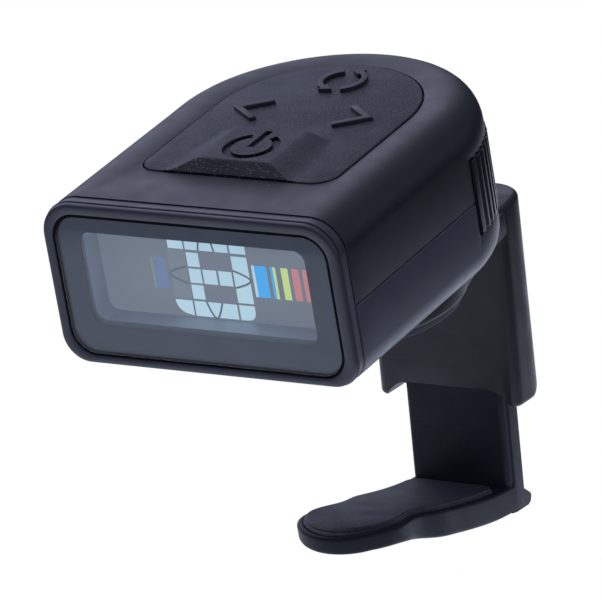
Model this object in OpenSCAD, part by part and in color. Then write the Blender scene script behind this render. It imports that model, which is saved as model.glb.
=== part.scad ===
// Clip on tuner: a swivelling display head on a ratcheting headstock clamp.
// Millimetres, +Z up, +Y towards the clamp. The origin is on the swivel axis,
// at the upper jaw's contact face. "Head height" below is measured from the head's underside.

/* [Head] */
// outside width of the display head
head_w = 28; // [28:0.1:28.6]
// height of the display head's top above the swivel's datum
head_h = 14.1; // [14.1:0.1:14.6]
// how far the head reaches below that datum
head_drop = 0.3; // [0.2:0.05:0.4]
// length of the straight sides before the round back end
head_straight = 20.3; // [20.3:0.1:20.6]
// wall thickness of both case halves
wall = 1.5; // [1.4:0.05:1.5]
// height of the joint line between the case halves
seam_z = 6.6; // [6.4:0.1:6.8]

/* [Display] */
// width of the clear window in the lens
window_w = 21.2; // [20.6:0.2:21.4]
// height of the clear window in the lens
window_h = 8.3; // [7.9:0.1:8.4]

/* [Keys] */
// full width of the rubber keypad
keypad_w = 18.8; // [18.4:0.1:19]
// how far each key can be pressed
key_travel = 0.3; // [0.2:0.05:0.3]
// how far the symbols stand above the keypad
symbol_rise = 0.5; // [0.3:0.05:0.6]

/* [Battery] */
// diameter of the coin cell
coin_d = 20; // [20]
// thickness of the coin cell
coin_t = 3.2; // [3.2, 2.5, 2]

/* [Clamp] */
// width of the clamp's sleeve
sleeve_w = 13.9; // [13.7:0.1:14]
// width of the sliding leg
leg_w = 9.5; // [9.3:0.1:9.6]
// how far the sleeve and the leg lean forward, in degrees from vertical
lean_angle = 6.8; // [6:0.1:7]
// pitch of the rack that holds the sliding leg
rack_pitch = 1; // [1]
// radius of the upper jaw's disc
disc_r = 9.5; // [9.2:0.1:9.7]
// thickness of the upper jaw's rubber pad
upper_pad_t = 0.8; // [0.6:0.1:1]

/* [Hidden] */
$fn = 64;
swivel_y = 22.6;                 // swivel axis behind the head's front face
arm_top = -1.75;                 // upper jaw's top, below the head's underside
arm_bottom = -3.9;               // upper jaw's underside
pad_face = arm_bottom - upper_pad_t;
top_fillet = 3.1;
bottom_fillet = 2.5;
bezel_depth = 1.5;
seam_gap = 0.08;
back_r = head_w / 2;
roof_z = head_h - wall;          // underside of the case top
bezel_frame = 1.2;               // width of the frame around the lens
lens_gap = 0.15;
lens_corner = 2.1;
lens_front = 0.12;
lens_t = 0.5;
gasket_t = 0.2;
window_z = 3.2;                  // lower edge of the clear window
well_z = 3.45;                   // floor of the well between the window and the display
lcd_front = 2.8;                 // how far the display sits behind the head's front
lcd_t = 1.2;
guide_t = 1.0;
board_z = 10.5;
board_t = 0.8;
dome_h = 0.7;
pocket_z = head_h - 0.8;         // floor of the keypad pocket
keypad_top = head_h + 0.1;
key_bottom = pocket_z + key_travel + 0.05;
keypad_front = 7.2;
keypad_corner = 1.6;
keypad_gap = 0.12;
stem_r = 1.3;
power_key_y = 11.2;
arrow_key_x = 5.4;
arrow_key_y = 19.2;
flip_key_y = 25.9;
slot_low = 3.56;                 // battery opening, lower and upper edge
slot_high = 10.35;
slot_front = 21.15;
tray_gap = 0.14;
rib_step = 4.5;                  // degrees between the tray's ribs
coin_y = 21.5;
coin_z = 4.65;
screw_x = 10.6;
screw_y = 9.4;
board_screw_x = 8;
board_screw_y = 27;
post_r = 3;
running_gap = 0.05;
sleeve_front = 34.1;             // from here to rack_start: before the clamp is leaned
sleeve_back_top = 39.6;
sleeve_back_bottom = 40;
plate_t = 0.75;
plate_end = -17.4;
flange_end = -19.1;
leg_front = sleeve_front + plate_t + 0.05;
leg_t = 2.4;
leg_back = leg_front + leg_t;
leg_top = -10.6;
channel_top = -3.95;
heel_end = -29.1;
pin_y = 38.4;
pin_z = -9.5;
pin_r = 0.5;
tooth_z = pin_z - 2.9;           // tip of the latch's tooth, latch released
tooth_y = leg_back + 0.06;
rack_start = -12.2;              // first rack groove, where the closed latch meets it
foot_heel_z = -26.8;
foot_rise = 5.82;                // how far the foot climbs from the leg to its toe
foot_run = 21.3;                 // length over which it climbs
foot_back = 34.9;
foot_front = 11.9;
foot_t_heel = 2.48;
foot_t_toe = 1.62;
toe_r = 4.77;
waist_y = 20.2;
waist_depth = 0.54;
waist_reach = 3.6;               // distance from the waist to the full width
lower_pad_t = 0.42;
pad_inset = 0.69;
eps = 0.01;

// ---- shared shapes, drawn in the head's own coordinates ----

// moves a shape from head coordinates to the origin on the swivel axis
module place() {
    translate([0, -swivel_y, -pad_face]) children();
}

// leans a shape of the sleeve or the leg forward, about the lower edge of the sleeve's front
module lean() {
    translate([0, sleeve_front, plate_end]) rotate([-lean_angle, 0, 0])
        translate([0, -sleeve_front, -plate_end]) children();
}

// extrudes a drawing of the X-Z plane from y0 to y1
module along_y(y0, y1) {
    translate([0, y1, 0]) rotate([90, 0, 0]) linear_extrude(y1 - y0) children();
}

// extrudes a drawing of the Y-Z plane, centred on x = 0
module along_x(width) {
    translate([-width / 2, 0, 0]) rotate([90, 0, 90]) linear_extrude(width) children();
}

module disc(x, y, z0, z1, r) {
    translate([x, y, z0]) cylinder(h = z1 - z0, r = r);
}

module block(x0, x1, y0, y1, z0, z1) {
    translate([x0, y0, z0]) cube([x1 - x0, y1 - y0, z1 - z0]);
}

// rectangle with round corners, its lower edge at y = z0
module round_rect(w, z0, z1, r) {
    translate([-w / 2 + r, z0]) square([w - 2 * r, z1 - z0]);
    translate([-w / 2, z0 + r]) square([w, z1 - z0 - 2 * r]);
    for (x = [-1, 1], z = [z0 + r, z1 - r]) {
        translate([x * (w / 2 - r), z]) circle(r = r);
    }
}

// the head's cross section, made smaller all round by inset, with its lower edge at low
module head_section(inset, low) {
    w = head_w - 2 * inset;
    high = head_h - inset;
    mid = head_h / 2;
    rb = bottom_fillet - inset;
    rt = top_fillet - inset;
    translate([-w / 2 + rb, low]) square([w - 2 * rb, mid - low]);
    translate([-w / 2, low + rb]) square([w, mid - low - rb]);
    translate([-w / 2 + rt, mid]) square([w - 2 * rt, high - mid]);
    translate([-w / 2, mid]) square([w, high - rt - mid]);
    for (x = [-1, 1]) {
        translate([x * (w / 2 - rb), low + rb]) circle(r = rb);
        translate([x * (w / 2 - rt), high - rt]) circle(r = rt);
    }
}

// the head's form from y0 to the round back end
module head_form(inset, low, y0) {
    along_y(y0, head_straight) head_section(inset, low);
    translate([0, head_straight, 0]) rotate_extrude(angle = 180) intersection() {
        head_section(inset, low);
        translate([0, -1]) square([head_w, head_h + 2]);
    }
}

// the space inside both case halves, its floor one wall above the datum
module head_space() {
    head_form(wall, wall, bezel_depth - eps);
}

module battery_opening() {
    block(-head_w, head_w, slot_front, 2 * head_w, slot_low, slot_high);
}

// the keypad's outline in plan
module keypad_outline(inset) {
    r = keypad_w / 2 - inset;
    front = keypad_front + inset;
    c = keypad_corner - inset;
    translate([0, head_straight]) circle(r = r);
    translate([-r, front + c]) square([2 * r, head_straight - front - c]);
    translate([-r + c, front]) square([2 * (r - c), c + 1]);
    for (x = [-1, 1]) {
        translate([x * (r - c), front + c]) circle(r = c);
    }
}

key_spots = [
    [0, power_key_y], [-arrow_key_x, arrow_key_y], [arrow_key_x, arrow_key_y], [0, flip_key_y]
];

// ---- head: case ----

module upper_shell() {
    color("#17181b") place() difference() {
        union() {
            difference() {
                intersection() {
                    head_form(0, -head_drop, bezel_depth);
                    block(-head_w, head_w, 0, 2 * head_w, seam_z, head_h + 1);
                }
                head_space();
            }
            for (x = [-1, 1]) {
                disc(x * screw_x, screw_y, seam_z, roof_z + 0.5, 1.7);
                disc(x * board_screw_x, board_screw_y, board_z + board_t, roof_z + 0.5, 1.4);
            }
        }
        battery_opening();
        translate([0, 0, pocket_z]) linear_extrude(2) keypad_outline(-keypad_gap);
        for (p = key_spots) {
            disc(p[0], p[1], roof_z - 1, pocket_z + 1, stem_r + 0.3);
        }
        for (x = [-1, 1]) {
            disc(x * screw_x, screw_y, seam_z - 1, roof_z - 1, 0.9);
            disc(x * board_screw_x, board_screw_y, board_z, roof_z - 0.1, 0.6);
        }
    }
}

module lower_shell() {
    color("#131417") place() difference() {
        union() {
            difference() {
                intersection() {
                    head_form(0, -head_drop, bezel_depth);
                    block(-head_w, head_w, 0, 2 * head_w, -1, seam_z - seam_gap);
                }
                head_space();
            }
            disc(0, swivel_y, -1.2, 0.5, 6.5);
            for (x = [-1, 1]) {
                disc(x * screw_x, screw_y, 0.5, seam_z - seam_gap, 1.8);
            }
            block(-11.6, -10.8, 12, 20.5, 1, 3.75);
            block(10.8, 11.6, 12, 20.5, 1, 3.75);
        }
        battery_opening();
        disc(0, swivel_y, -2, 2.5, post_r + running_gap);
        for (x = [-1, 1]) {
            disc(x * screw_x, screw_y, 0.4, seam_z + 1, 0.9);
            disc(x * screw_x, screw_y, -1, 1.2, 1.6);
        }
    }
}

module case_screws() {
    color("#55585c") place() for (x = [-1, 1]) {
        difference() {
            union() {
                disc(x * screw_x, screw_y, 0.3, 1.15, 1.5);
                disc(x * screw_x, screw_y, 1, roof_z - 1.4, 0.85);
            }
            block(x * screw_x - 0.9, x * screw_x + 0.9, screw_y - 0.18, screw_y + 0.18, 0, 0.7);
            block(x * screw_x - 0.18, x * screw_x + 0.18, screw_y - 0.9, screw_y + 0.9, 0, 0.7);
        }
    }
}

// ---- head: display ----

lens_low = bezel_frame - 0.2 - head_drop;
lens_high = head_h - bezel_frame;

module display_bezel() {
    color("#1b1c1f") place() difference() {
        along_y(0, bezel_depth) head_section(0, -head_drop);
        along_y(-1, bezel_depth + 1)
            round_rect(head_w - 2 * bezel_frame + 2 * lens_gap, lens_low - lens_gap,
                lens_high + lens_gap, lens_corner + lens_gap);
    }
}

module display_lens() {
    color([0.12, 0.14, 0.18, 0.5]) place()
        along_y(lens_front, lens_front + lens_t)
        round_rect(head_w - 2 * bezel_frame, lens_low, lens_high, lens_corner);
}

module window_hole(y0, y1, low) {
    along_y(y0, y1) round_rect(window_w, low, window_z + window_h, 1);
}

module lens_gasket() {
    color("#20242b") place() difference() {
        along_y(lens_front + lens_t, holder_front)
            round_rect(head_w - 2 * bezel_frame - 0.6, lens_low + 0.3, lens_high - 0.3, lens_corner - 0.3);
        window_hole(0, 2, window_z);
    }
}

holder_front = lens_front + lens_t + gasket_t;
holder_back = lcd_front + lcd_t + guide_t + 0.2;
lcd_w = 23;
lcd_low = 2.6;
lcd_high = 12;

module led_spots() {
    for (x = [-6, 0, 6]) {
        translate([x, 0, 0]) children();
    }
}

module display_holder() {
    color("#c9ccd0") place() difference() {
        along_y(holder_front, holder_back)
            round_rect(head_w - 2 * wall - 0.2, wall + 0.1, roof_z - 0.1, top_fillet - wall);
        window_hole(0, lcd_front + 1, well_z);
        block(-lcd_w / 2 - 0.1, lcd_w / 2 + 0.1, lcd_front, 20, lcd_low - 0.1, lcd_high + 0.1);
        led_spots() block(-1.1, 1.1, lcd_front + lcd_t, 20, lcd_low - 0.8, lcd_low);
    }
}

module lcd_panel() {
    color("#8d9aa0") place()
        block(-lcd_w / 2, lcd_w / 2, lcd_front, lcd_front + lcd_t - 0.05, lcd_low, lcd_high);
}

module light_guide() {
    color("#e8eef2") place()
        block(-lcd_w / 2, lcd_w / 2, lcd_front + lcd_t, lcd_front + lcd_t + guide_t, lcd_low, lcd_high);
}

module backlight_leds() {
    color("#f5f3df") place() led_spots()
        block(-1, 1, lcd_front + lcd_t + 0.1, lcd_front + lcd_t + guide_t, lcd_low - 0.75, lcd_low - 0.05);
}

module display_ribbon() {
    back = lcd_front + lcd_t + guide_t;
    top = board_z + board_t;
    color("#b5702a") place() along_x(14) polygon([
        [back + 0.02, 7], [back + 0.17, 7], [back + 0.17, top + 0.03],
        [power_key_y - 2.2, top + 0.03], [power_key_y - 2.2, top + 0.18], [back + 0.02, top + 0.18]
    ]);
}

// ---- head: electronics ----

board_front = holder_back + 0.4;
board_r = head_w / 2 - wall - 0.3;

module main_board() {
    color("#1d5b3a") place() difference() {
        translate([0, 0, board_z]) linear_extrude(board_t) union() {
            translate([0, head_straight]) circle(r = board_r);
            translate([-board_r, board_front]) square([2 * board_r, head_straight - board_front]);
        }
        for (x = [-1, 1]) {
            disc(x * screw_x, screw_y, board_z - 1, board_z + 2, 1.9);
            disc(x * board_screw_x, board_screw_y, board_z - 1, board_z + 2, 0.65);
        }
    }
}

module controller_chip() {
    color("#202124") place() {
        block(-8.4, -3.6, 11.4, 15.6, board_z + board_t, board_z + board_t + 0.7);
    }
}

module board_parts() {
    top = board_z + board_t;
    color("#8a7a60") place() {
        for (i = [0:4]) {
            block(4.2, 5.2, 11 + i * 1.1, 11.5 + i * 1.1, top, top + 0.5);
        }
        block(6.4, 9.4, 13, 14.4, top, top + 0.8);
        block(-2, 2, 15.2, 16.4, top, top + 0.6);
    }
}

module key_domes() {
    color("#c8cbd0") place() for (p = key_spots) {
        disc(p[0], p[1], board_z + board_t, board_z + board_t + 0.3, 2);
        disc(p[0], p[1], board_z + board_t + 0.2, board_z + board_t + dome_h - key_travel, 1.2);
    }
}

module board_screws() {
    color("#9da1a6") place() for (x = [-1, 1]) {
        disc(x * board_screw_x, board_screw_y, board_z - 0.6, board_z, 1.1);
        disc(x * board_screw_x, board_screw_y, board_z - 0.1, roof_z - 0.3, 0.55);
    }
}

module contact_positive() {
    rim = coin_y - coin_d / 2;
    color("#c9a648") place() {
        block(-2.5, 2.5, rim - 0.3, rim - 0.05, coin_z + 0.3, board_z);
        block(-2.5, 2.5, rim - 1.6, rim - 0.05, board_z - 0.2, board_z);
    }
}

module contact_negative() {
    touch = coin_z + coin_t + 0.06;
    color("#c9a648") place() along_x(5) polygon([
        [17, board_z], [17, board_z - 0.2], [18.4, board_z - 0.2], [23.2, touch], [25.2, touch],
        [25.6, touch + 0.5], [25.4, touch + 0.6], [25.1, touch + 0.2], [23.3, touch + 0.2],
        [18.5, board_z]
    ]);
}

module piezo_sensor() {
    color("#c8a14a") place() {
        disc(0, 12.3, wall, wall + 0.2, 5);
        disc(0, 12.3, wall + 0.2, wall + 0.4, 3.4);
    }
}

// ---- head: battery ----

tray_r = back_r + 0.12;
tray_inner = back_r - wall + 0.2;

module battery_tray() {
    low = slot_low + tray_gap;
    high = slot_high - tray_gap;
    color("#101114") place() {
        difference() {
            disc(0, head_straight, low, high, tray_r);
            disc(0, head_straight, low - 1, high + 1, tray_inner);
            block(-head_w, head_w, 0, slot_front + 0.35, 0, head_h);
            for (a = [9:rib_step:171]) {
                translate([0, head_straight, low - 1]) rotate([0, 0, a]) translate([tray_r, 0, 0])
                    cylinder(h = high - low + 2, r = 0.36, $fn = 16);
            }
        }
        difference() {
            translate([0, 0, low + 0.2]) linear_extrude(coin_z - low - 0.25) intersection() {
                translate([0, head_straight]) circle(r = tray_inner + 0.4);
                translate([-12.1, 12.8]) square([24.2, 24]);
            }
            disc(0, coin_y, low, coin_z + 1, 6);
        }
        difference() {
            disc(0, coin_y, low + 0.5, coin_z + 2.2, coin_d / 2 + 1.1);
            disc(0, coin_y, low, coin_z + 3, coin_d / 2 + 0.1);
            block(-head_w, head_w, 0, 14, 0, head_h);
        }
    }
}

module coin_cell() {
    color("#c9cccf") place() {
        disc(0, coin_y, coin_z, coin_z + coin_t - 0.4, coin_d / 2);
        disc(0, coin_y, coin_z + coin_t - 0.5, coin_z + coin_t, coin_d / 2 - 1.3);
    }
}

// ---- head: keys ----

// straight stroke between two points, seen in plan
module stroke(p, q, width) {
    d = q - p;
    translate(p) rotate(atan2(d[1], d[0])) translate([0, -width / 2]) square([norm(d), width]);
}

chevron_tip = arrow_key_x + 0.95;
chevron_end = [arrow_key_x - 1.55, 1.9];

// an arrow head pointing towards -X or +X
module chevron(side, grow) {
    width = 0.62 + 2 * grow;
    tip = [side * chevron_tip, arrow_key_y];
    union() {
        for (up = [-1, 1]) {
            stroke(tip, [side * chevron_end[0], arrow_key_y + up * chevron_end[1]], width);
        }
        translate(tip) circle(d = width);
    }
}

flip_r = 1.9;

// two half rings with arrow heads
module flip_symbol(grow) {
    width = 0.55 + 2 * grow;
    translate([0, flip_key_y]) {
        difference() {
            circle(r = flip_r + width / 2);
            circle(r = flip_r - width / 2);
            for (a = [0, 180]) {
                rotate(a) translate([-0.9 + grow, flip_r - 1.2]) square([0.85 - 2 * grow, 2.4]);
            }
        }
        for (a = [0, 180]) {
            rotate(a - 14) translate([0.35, flip_r]) rotate(180) circle(r = 0.75 + 2 * grow, $fn = 3);
        }
    }
}

// the strip under the flip symbol that joins its half rings to the stem
module flip_bridge(grow, z0, z1) {
    x = flip_r + grow;
    y = 0.5 + grow;
    block(-x, x, flip_key_y - y, flip_key_y + y, z0, z1);
}

lip_y = 8.5;
lip_z = keypad_top + 0.8;
crease_y = 14.6;                 // back edge of the power key's level top
wedge_back = 15.4;
wedge_half = 6.1;

// the power key's outline in plan
module wedge_outline(grow) {
    polygon([
        [-wedge_half - grow, keypad_front - 1], [wedge_half + grow, keypad_front - 1],
        [wedge_half + grow, 11 + grow], [5.5 + grow, wedge_back + grow],
        [-5.5 - grow, wedge_back + grow], [-wedge_half - grow, 11 + grow]
    ]);
}

module keypad_mat() {
    color("#26272c") place() difference() {
        translate([0, 0, pocket_z]) linear_extrude(keypad_top - pocket_z) keypad_outline(0);
        translate([0, 0, pocket_z - 1]) linear_extrude(4) union() {
            wedge_outline(0.06);
            chevron(-1, 0.05);
            chevron(1, 0.05);
            flip_symbol(0.05);
        }
        for (p = key_spots) {
            disc(p[0], p[1], pocket_z - 1, pocket_z + 0.75, stem_r + 0.1);
        }
        flip_bridge(0.1, pocket_z - 1, pocket_z + 0.75);
    }
}

module key_stem(x, y) {
    disc(x, y, board_z + board_t + dome_h + 0.05, key_bottom + 0.1, stem_r);
}

module power_key() {
    color("#24252a") place() {
        difference() {
            intersection() {
                translate([0, 0, key_bottom]) linear_extrude(3) intersection() {
                    wedge_outline(0);
                    keypad_outline(0);
                }
                along_x(20) polygon([
                    [keypad_front, key_bottom], [keypad_front, keypad_top], [lip_y, lip_z],
                    [crease_y, lip_z], [wedge_back, keypad_top], [wedge_back, key_bottom]
                ]);
                along_y(0, 20) polygon([
                    [-wedge_half, key_bottom], [wedge_half, key_bottom], [wedge_half, keypad_top],
                    [3.8, lip_z], [-3.8, lip_z], [-wedge_half, keypad_top]
                ]);
            }
            translate([0, power_key_y, lip_z - 0.3]) linear_extrude(3) union() {
                difference() {
                    circle(r = 2.42);
                    circle(r = 1.75);
                    translate([-1, 0]) square([2, 4]);
                }
                translate([-0.33, 0]) square([0.66, 3]);
            }
        }
        key_stem(0, power_key_y);
    }
}

module symbol_body(x, y) {
    translate([0, 0, key_bottom]) linear_extrude(keypad_top + symbol_rise - key_bottom) children();
    key_stem(x, y);
}

module left_key() {
    color("#2d2e33") place() symbol_body(-arrow_key_x, arrow_key_y) chevron(-1, 0);
}

module right_key() {
    color("#2d2e33") place() symbol_body(arrow_key_x, arrow_key_y) chevron(1, 0);
}

module flip_key() {
    color("#2d2e33") place() {
        symbol_body(0, flip_key_y) flip_symbol(0);
        flip_bridge(0, key_bottom, pocket_z + 0.7);
    }
}

// ---- swivel ----

module swivel_post() {
    color("#8f9398") place() difference() {
        union() {
            disc(0, swivel_y, wall + 0.02, 2.3, 5);
            disc(0, swivel_y, -3.05, wall + 0.1, post_r);
        }
        disc(0, swivel_y, -4, 1, 0.85);
    }
}

module friction_washer() {
    color("#d8d4c8") place() difference() {
        disc(0, swivel_y, arm_top + 0.02, -1.23, 6.2);
        disc(0, swivel_y, -3, 0, post_r + running_gap);
    }
}

module retaining_washer() {
    color("#b4b8bc") place() difference() {
        disc(0, swivel_y, -3.45, -3.06, 4.8);
        disc(0, swivel_y, -4, -2, 0.9);
    }
}

module swivel_screw() {
    color("#77797d") place() difference() {
        union() {
            disc(0, swivel_y, arm_bottom + 0.06, -3.46, 1.8);
            disc(0, swivel_y, -3.6, 0.6, 0.8);
        }
        block(-1, 1, swivel_y - 0.2, swivel_y + 0.2, -5, arm_bottom + 0.25);
        block(-0.2, 0.2, swivel_y - 1, swivel_y + 1, -5, arm_bottom + 0.25);
    }
}

// ---- clamp ----

leg_edge = 0.5;                  // round edges of the leg's front face
rail = 0.15;                     // how far the leg's rails stand out on each side
channel_w = leg_w + 0.6;
window_half = 3.1;
sleeve_r_front = 0.9;
sleeve_r_back = 3.4;

// the sleeve's outline in plan: nearly square in front, well rounded behind
module sleeve_plan() {
    half = sleeve_w / 2;
    back = sleeve_back_bottom;
    for (x = [-1, 1]) {
        translate([x * (half - sleeve_r_front), sleeve_front + sleeve_r_front]) circle(r = sleeve_r_front);
        translate([x * (half - sleeve_r_back), back - sleeve_r_back]) circle(r = sleeve_r_back);
    }
    translate([-half + sleeve_r_front, sleeve_front]) square([sleeve_w - 2 * sleeve_r_front, 1.5]);
    translate([-half, sleeve_front + sleeve_r_front])
        square([sleeve_w, back - sleeve_r_back - sleeve_front - sleeve_r_front]);
    translate([-half + sleeve_r_back, sleeve_front + 1]) square([sleeve_w - 2 * sleeve_r_back, back - sleeve_front - 1]);
}

module sleeve_block() {
    intersection() {
        translate([0, 0, flange_end - 1]) linear_extrude(1 - flange_end) sleeve_plan();
        along_x(sleeve_w + 1) polygon([
            [sleeve_front - 1, -1.5], [sleeve_front - 1, flange_end + 0.4], [sleeve_front + 0.6, flange_end],
            [sleeve_back_bottom - 0.8, flange_end], [sleeve_back_bottom, flange_end + 0.8],
            [sleeve_back_top, -1.1], [sleeve_back_top - 0.5, -0.65], [sleeve_front + 2.4, -0.8]
        ]);
    }
}

module clamp_bracket() {
    half = sleeve_w / 2;
    color("#1a1b1f") place() difference() {
        union() {
            translate([0, 0, arm_bottom]) linear_extrude(arm_top - arm_bottom) union() {
                translate([0, swivel_y]) circle(r = disc_r);
                polygon([
                    [-8.85, 26], [-8.05, 29.5], [-7.3, 33.2], [-half, 36.4], [-half, 37.8],
                    [half, 37.8], [half, 36.4], [7.3, 33.2], [8.05, 29.5], [8.85, 26]
                ]);
            }
            lean() sleeve_block();
        }
        disc(0, swivel_y, -5, 0, post_r + running_gap);
        disc(0, swivel_y, arm_bottom - 1, -3, 5);
        lean() {
            block(-channel_w / 2, channel_w / 2, sleeve_front + plate_t, leg_back + 0.12, -25, channel_top);
            block(-channel_w / 2, channel_w / 2, sleeve_front - 1, leg_front, -25, plate_end);
            block(-window_half, window_half, leg_back, 45, -14.4, -4.8);
            along_x(10.2) translate([pin_y, pin_z]) circle(r = pin_r + 0.02, $fn = 24);
            block(-1.7, 1.7, leg_back + 0.2, leg_back + 0.6, -5, channel_top);
        }
    }
}

module upper_jaw_pad() {
    color("#1f2023") place() disc(0, swivel_y, pad_face, arm_bottom, disc_r - 0.6);
}

module latch_pin() {
    color("#a8abb0") place() lean() along_x(10) translate([pin_y, pin_z]) circle(r = pin_r, $fn = 24);
}

module release_latch() {
    color("#202126") place() lean() difference() {
        along_x(2 * window_half - 0.2) polygon([
            [38.4, -5.1], [40.2, -4.95], [40.6, -5.5], [40.5, -7], [39.8, -8.2], [39.5, -9.5],
            [39.3, -11], [38.9, -13.4], [38.3, -13.4], [38, tooth_z - 0.35], [tooth_y, tooth_z],
            [38, tooth_z + 0.35], [37.9, -11], [37.6, -10], [37.6, -9], [38.4, -7.9]
        ]);
        along_x(20) translate([pin_y, pin_z]) circle(r = pin_r + 0.04, $fn = 24);
        for (i = [0:3]) {
            block(-5, 5, 40.35, 41, -5.75 - i * 0.45, -5.55 - i * 0.45);
        }
    }
}

module latch_spring() {
    color("#b9bcc0") place() lean() along_x(3) polygon([
        [leg_back + 0.3, channel_top - 0.05], [leg_back + 0.5, channel_top - 0.05], [leg_back + 0.5, -5],
        [leg_back + 1, -7.4], [leg_back + 0.8, -7.4], [leg_back + 0.3, -5]
    ]);
}

// eases from 0 to 1 as y goes from a to b
function ease(y, a, b) = (1 - cos(180 * min(1, max(0, (y - a) / (b - a))))) / 2;

// height of the foot's top face at depth y
function foot_top(y) =
    let (t = min(1, max(0, (foot_back - y) / foot_run)))
    foot_heel_z + foot_rise * (0.5 * t + 0.25 * (1 - cos(180 * t)));

// height of the foot's underside at depth y
function foot_bottom(y) = foot_top(y) - foot_t_toe - (foot_t_heel - foot_t_toe) * ease(y, 15, 23);

foot_steps = 16;
function foot_y(i) = foot_front + (foot_back - foot_front) * i / foot_steps;

// half width of the foot behind its toe, with a shallow waist
function foot_half(y) = toe_r - waist_depth * (1 - ease(abs(y - waist_y), 0, waist_reach));

module foot_plan(inset, back) {
    start = foot_front + toe_r - 0.5;
    waist = [for (i = [0:12]) start + (back - start) * i / 12];
    union() {
        translate([0, foot_front + toe_r]) circle(r = toe_r - inset);
        polygon(concat(
            [for (y = waist) [foot_half(y) - inset, y]],
            [for (i = [12:-1:0]) [-foot_half(waist[i]) + inset, waist[i]]]
        ));
    }
}

module lower_jaw() {
    color("#1b1c20") place() difference() {
        union() {
            lean() {
                translate([0, 0, foot_heel_z - 1]) linear_extrude(leg_top - foot_heel_z + 1)
                    round_rect(leg_w, leg_front, leg_back, leg_edge);
                translate([0, 0, foot_heel_z - 1]) linear_extrude(leg_top - foot_heel_z + 1)
                    translate([-leg_w / 2 - rail, leg_front + 0.6]) square([leg_w + 2 * rail, leg_t - 0.6]);
                along_x(leg_w + 2 * rail) polygon([
                    [leg_front, foot_heel_z], [leg_back, foot_heel_z - 0.7], [leg_back + 1, foot_heel_z - 1.6],
                    [leg_back + 1.05, foot_heel_z - 1.9], [leg_back + 0.6, heel_end], [leg_front - 1, heel_end],
                    [leg_front - 1, foot_heel_z - 0.5]
                ]);
            }
            intersection() {
                translate([0, 0, -40]) linear_extrude(40) foot_plan(0, foot_back);
                along_x(20) polygon(concat(
                    [for (i = [0:foot_steps]) [foot_y(i), foot_top(foot_y(i))]],
                    [for (i = [foot_steps:-1:0]) [foot_y(i), foot_bottom(foot_y(i))]]
                ));
            }
        }
        lean() for (i = [0:11]) {
            along_x(6.4) translate([leg_back, rack_start - i * rack_pitch])
                polygon([[-0.6, 0], [0.1, 0.56], [0.1, -0.56]]);
        }
    }
}

module lower_jaw_pad() {
    color("#232428") place() intersection() {
        translate([0, 0, -40]) linear_extrude(40) foot_plan(pad_inset, 33.3);
        along_x(20) polygon(concat(
            [for (i = [0:foot_steps]) [foot_y(i), foot_top(foot_y(i))]],
            [for (i = [foot_steps:-1:0]) [foot_y(i), foot_top(foot_y(i)) + lower_pad_t]]
        ));
    }
}

upper_shell();
lower_shell();
display_bezel();
display_lens();
lens_gasket();
display_holder();
lcd_panel();
light_guide();
backlight_leds();
display_ribbon();
main_board();
controller_chip();
board_parts();
key_domes();
board_screws();
contact_positive();
contact_negative();
piezo_sensor();
case_screws();
battery_tray();
coin_cell();
keypad_mat();
power_key();
left_key();
right_key();
flip_key();
swivel_post();
friction_washer();
retaining_washer();
swivel_screw();
clamp_bracket();
upper_jaw_pad();
latch_pin();
latch_spring();
release_latch();
lower_jaw();
lower_jaw_pad();
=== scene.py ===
"""Clip on tuner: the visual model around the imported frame.

Shapes are drawn in millimetres in the head's own coordinates: x across the head, y back from its front
face and z up from its underside. place() turns them into the row frame, in metres.
"""

import math
from collections import namedtuple

import bmesh
import bpy
from mathutils import Matrix, Vector


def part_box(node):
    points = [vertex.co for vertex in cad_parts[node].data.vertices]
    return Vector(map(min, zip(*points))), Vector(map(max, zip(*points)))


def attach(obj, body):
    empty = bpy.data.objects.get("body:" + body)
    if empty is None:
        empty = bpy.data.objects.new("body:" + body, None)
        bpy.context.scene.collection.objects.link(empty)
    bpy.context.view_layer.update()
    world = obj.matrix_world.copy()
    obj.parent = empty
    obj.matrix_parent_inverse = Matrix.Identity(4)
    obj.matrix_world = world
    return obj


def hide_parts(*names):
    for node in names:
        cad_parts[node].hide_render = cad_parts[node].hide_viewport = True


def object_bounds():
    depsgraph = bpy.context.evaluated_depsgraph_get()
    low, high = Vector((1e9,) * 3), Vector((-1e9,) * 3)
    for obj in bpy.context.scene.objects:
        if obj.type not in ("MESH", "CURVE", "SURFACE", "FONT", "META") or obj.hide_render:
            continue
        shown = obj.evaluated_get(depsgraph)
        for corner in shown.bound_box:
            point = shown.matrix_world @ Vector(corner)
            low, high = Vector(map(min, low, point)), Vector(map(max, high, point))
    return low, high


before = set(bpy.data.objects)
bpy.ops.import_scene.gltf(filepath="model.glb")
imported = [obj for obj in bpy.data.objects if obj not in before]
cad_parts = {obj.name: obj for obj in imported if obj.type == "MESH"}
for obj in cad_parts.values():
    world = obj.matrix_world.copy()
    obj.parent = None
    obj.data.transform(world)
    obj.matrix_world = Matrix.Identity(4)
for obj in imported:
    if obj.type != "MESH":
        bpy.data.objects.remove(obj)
cad_low, cad_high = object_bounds()

# ---- measures from the CAD frame

MM = 0.001
JAW_FACE = -4.7  # drawn height of the upper jaw's contact face
FRONT_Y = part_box("display_bezel")[0].y
UNDER_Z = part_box("upper_jaw_pad")[0].z - JAW_FACE * MM

Point = namedtuple("Point", "x y z")


def drawn_box(name):
    """The low and high corners of a CAD node's box, as drawn."""
    return [Point(v.x / MM, (v.y - FRONT_Y) / MM, (v.z - UNDER_Z) / MM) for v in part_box(name)]


bezel_low, bezel_high = drawn_box("display_bezel")
shell_low, shell_high = drawn_box("upper_shell")
keypad_low, keypad_high = drawn_box("keypad_mat")
tray_low, tray_high = drawn_box("battery_tray")
lcd_low, lcd_high = drawn_box("lcd_panel")
disc_low, disc_high = drawn_box("upper_jaw_pad")

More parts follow.
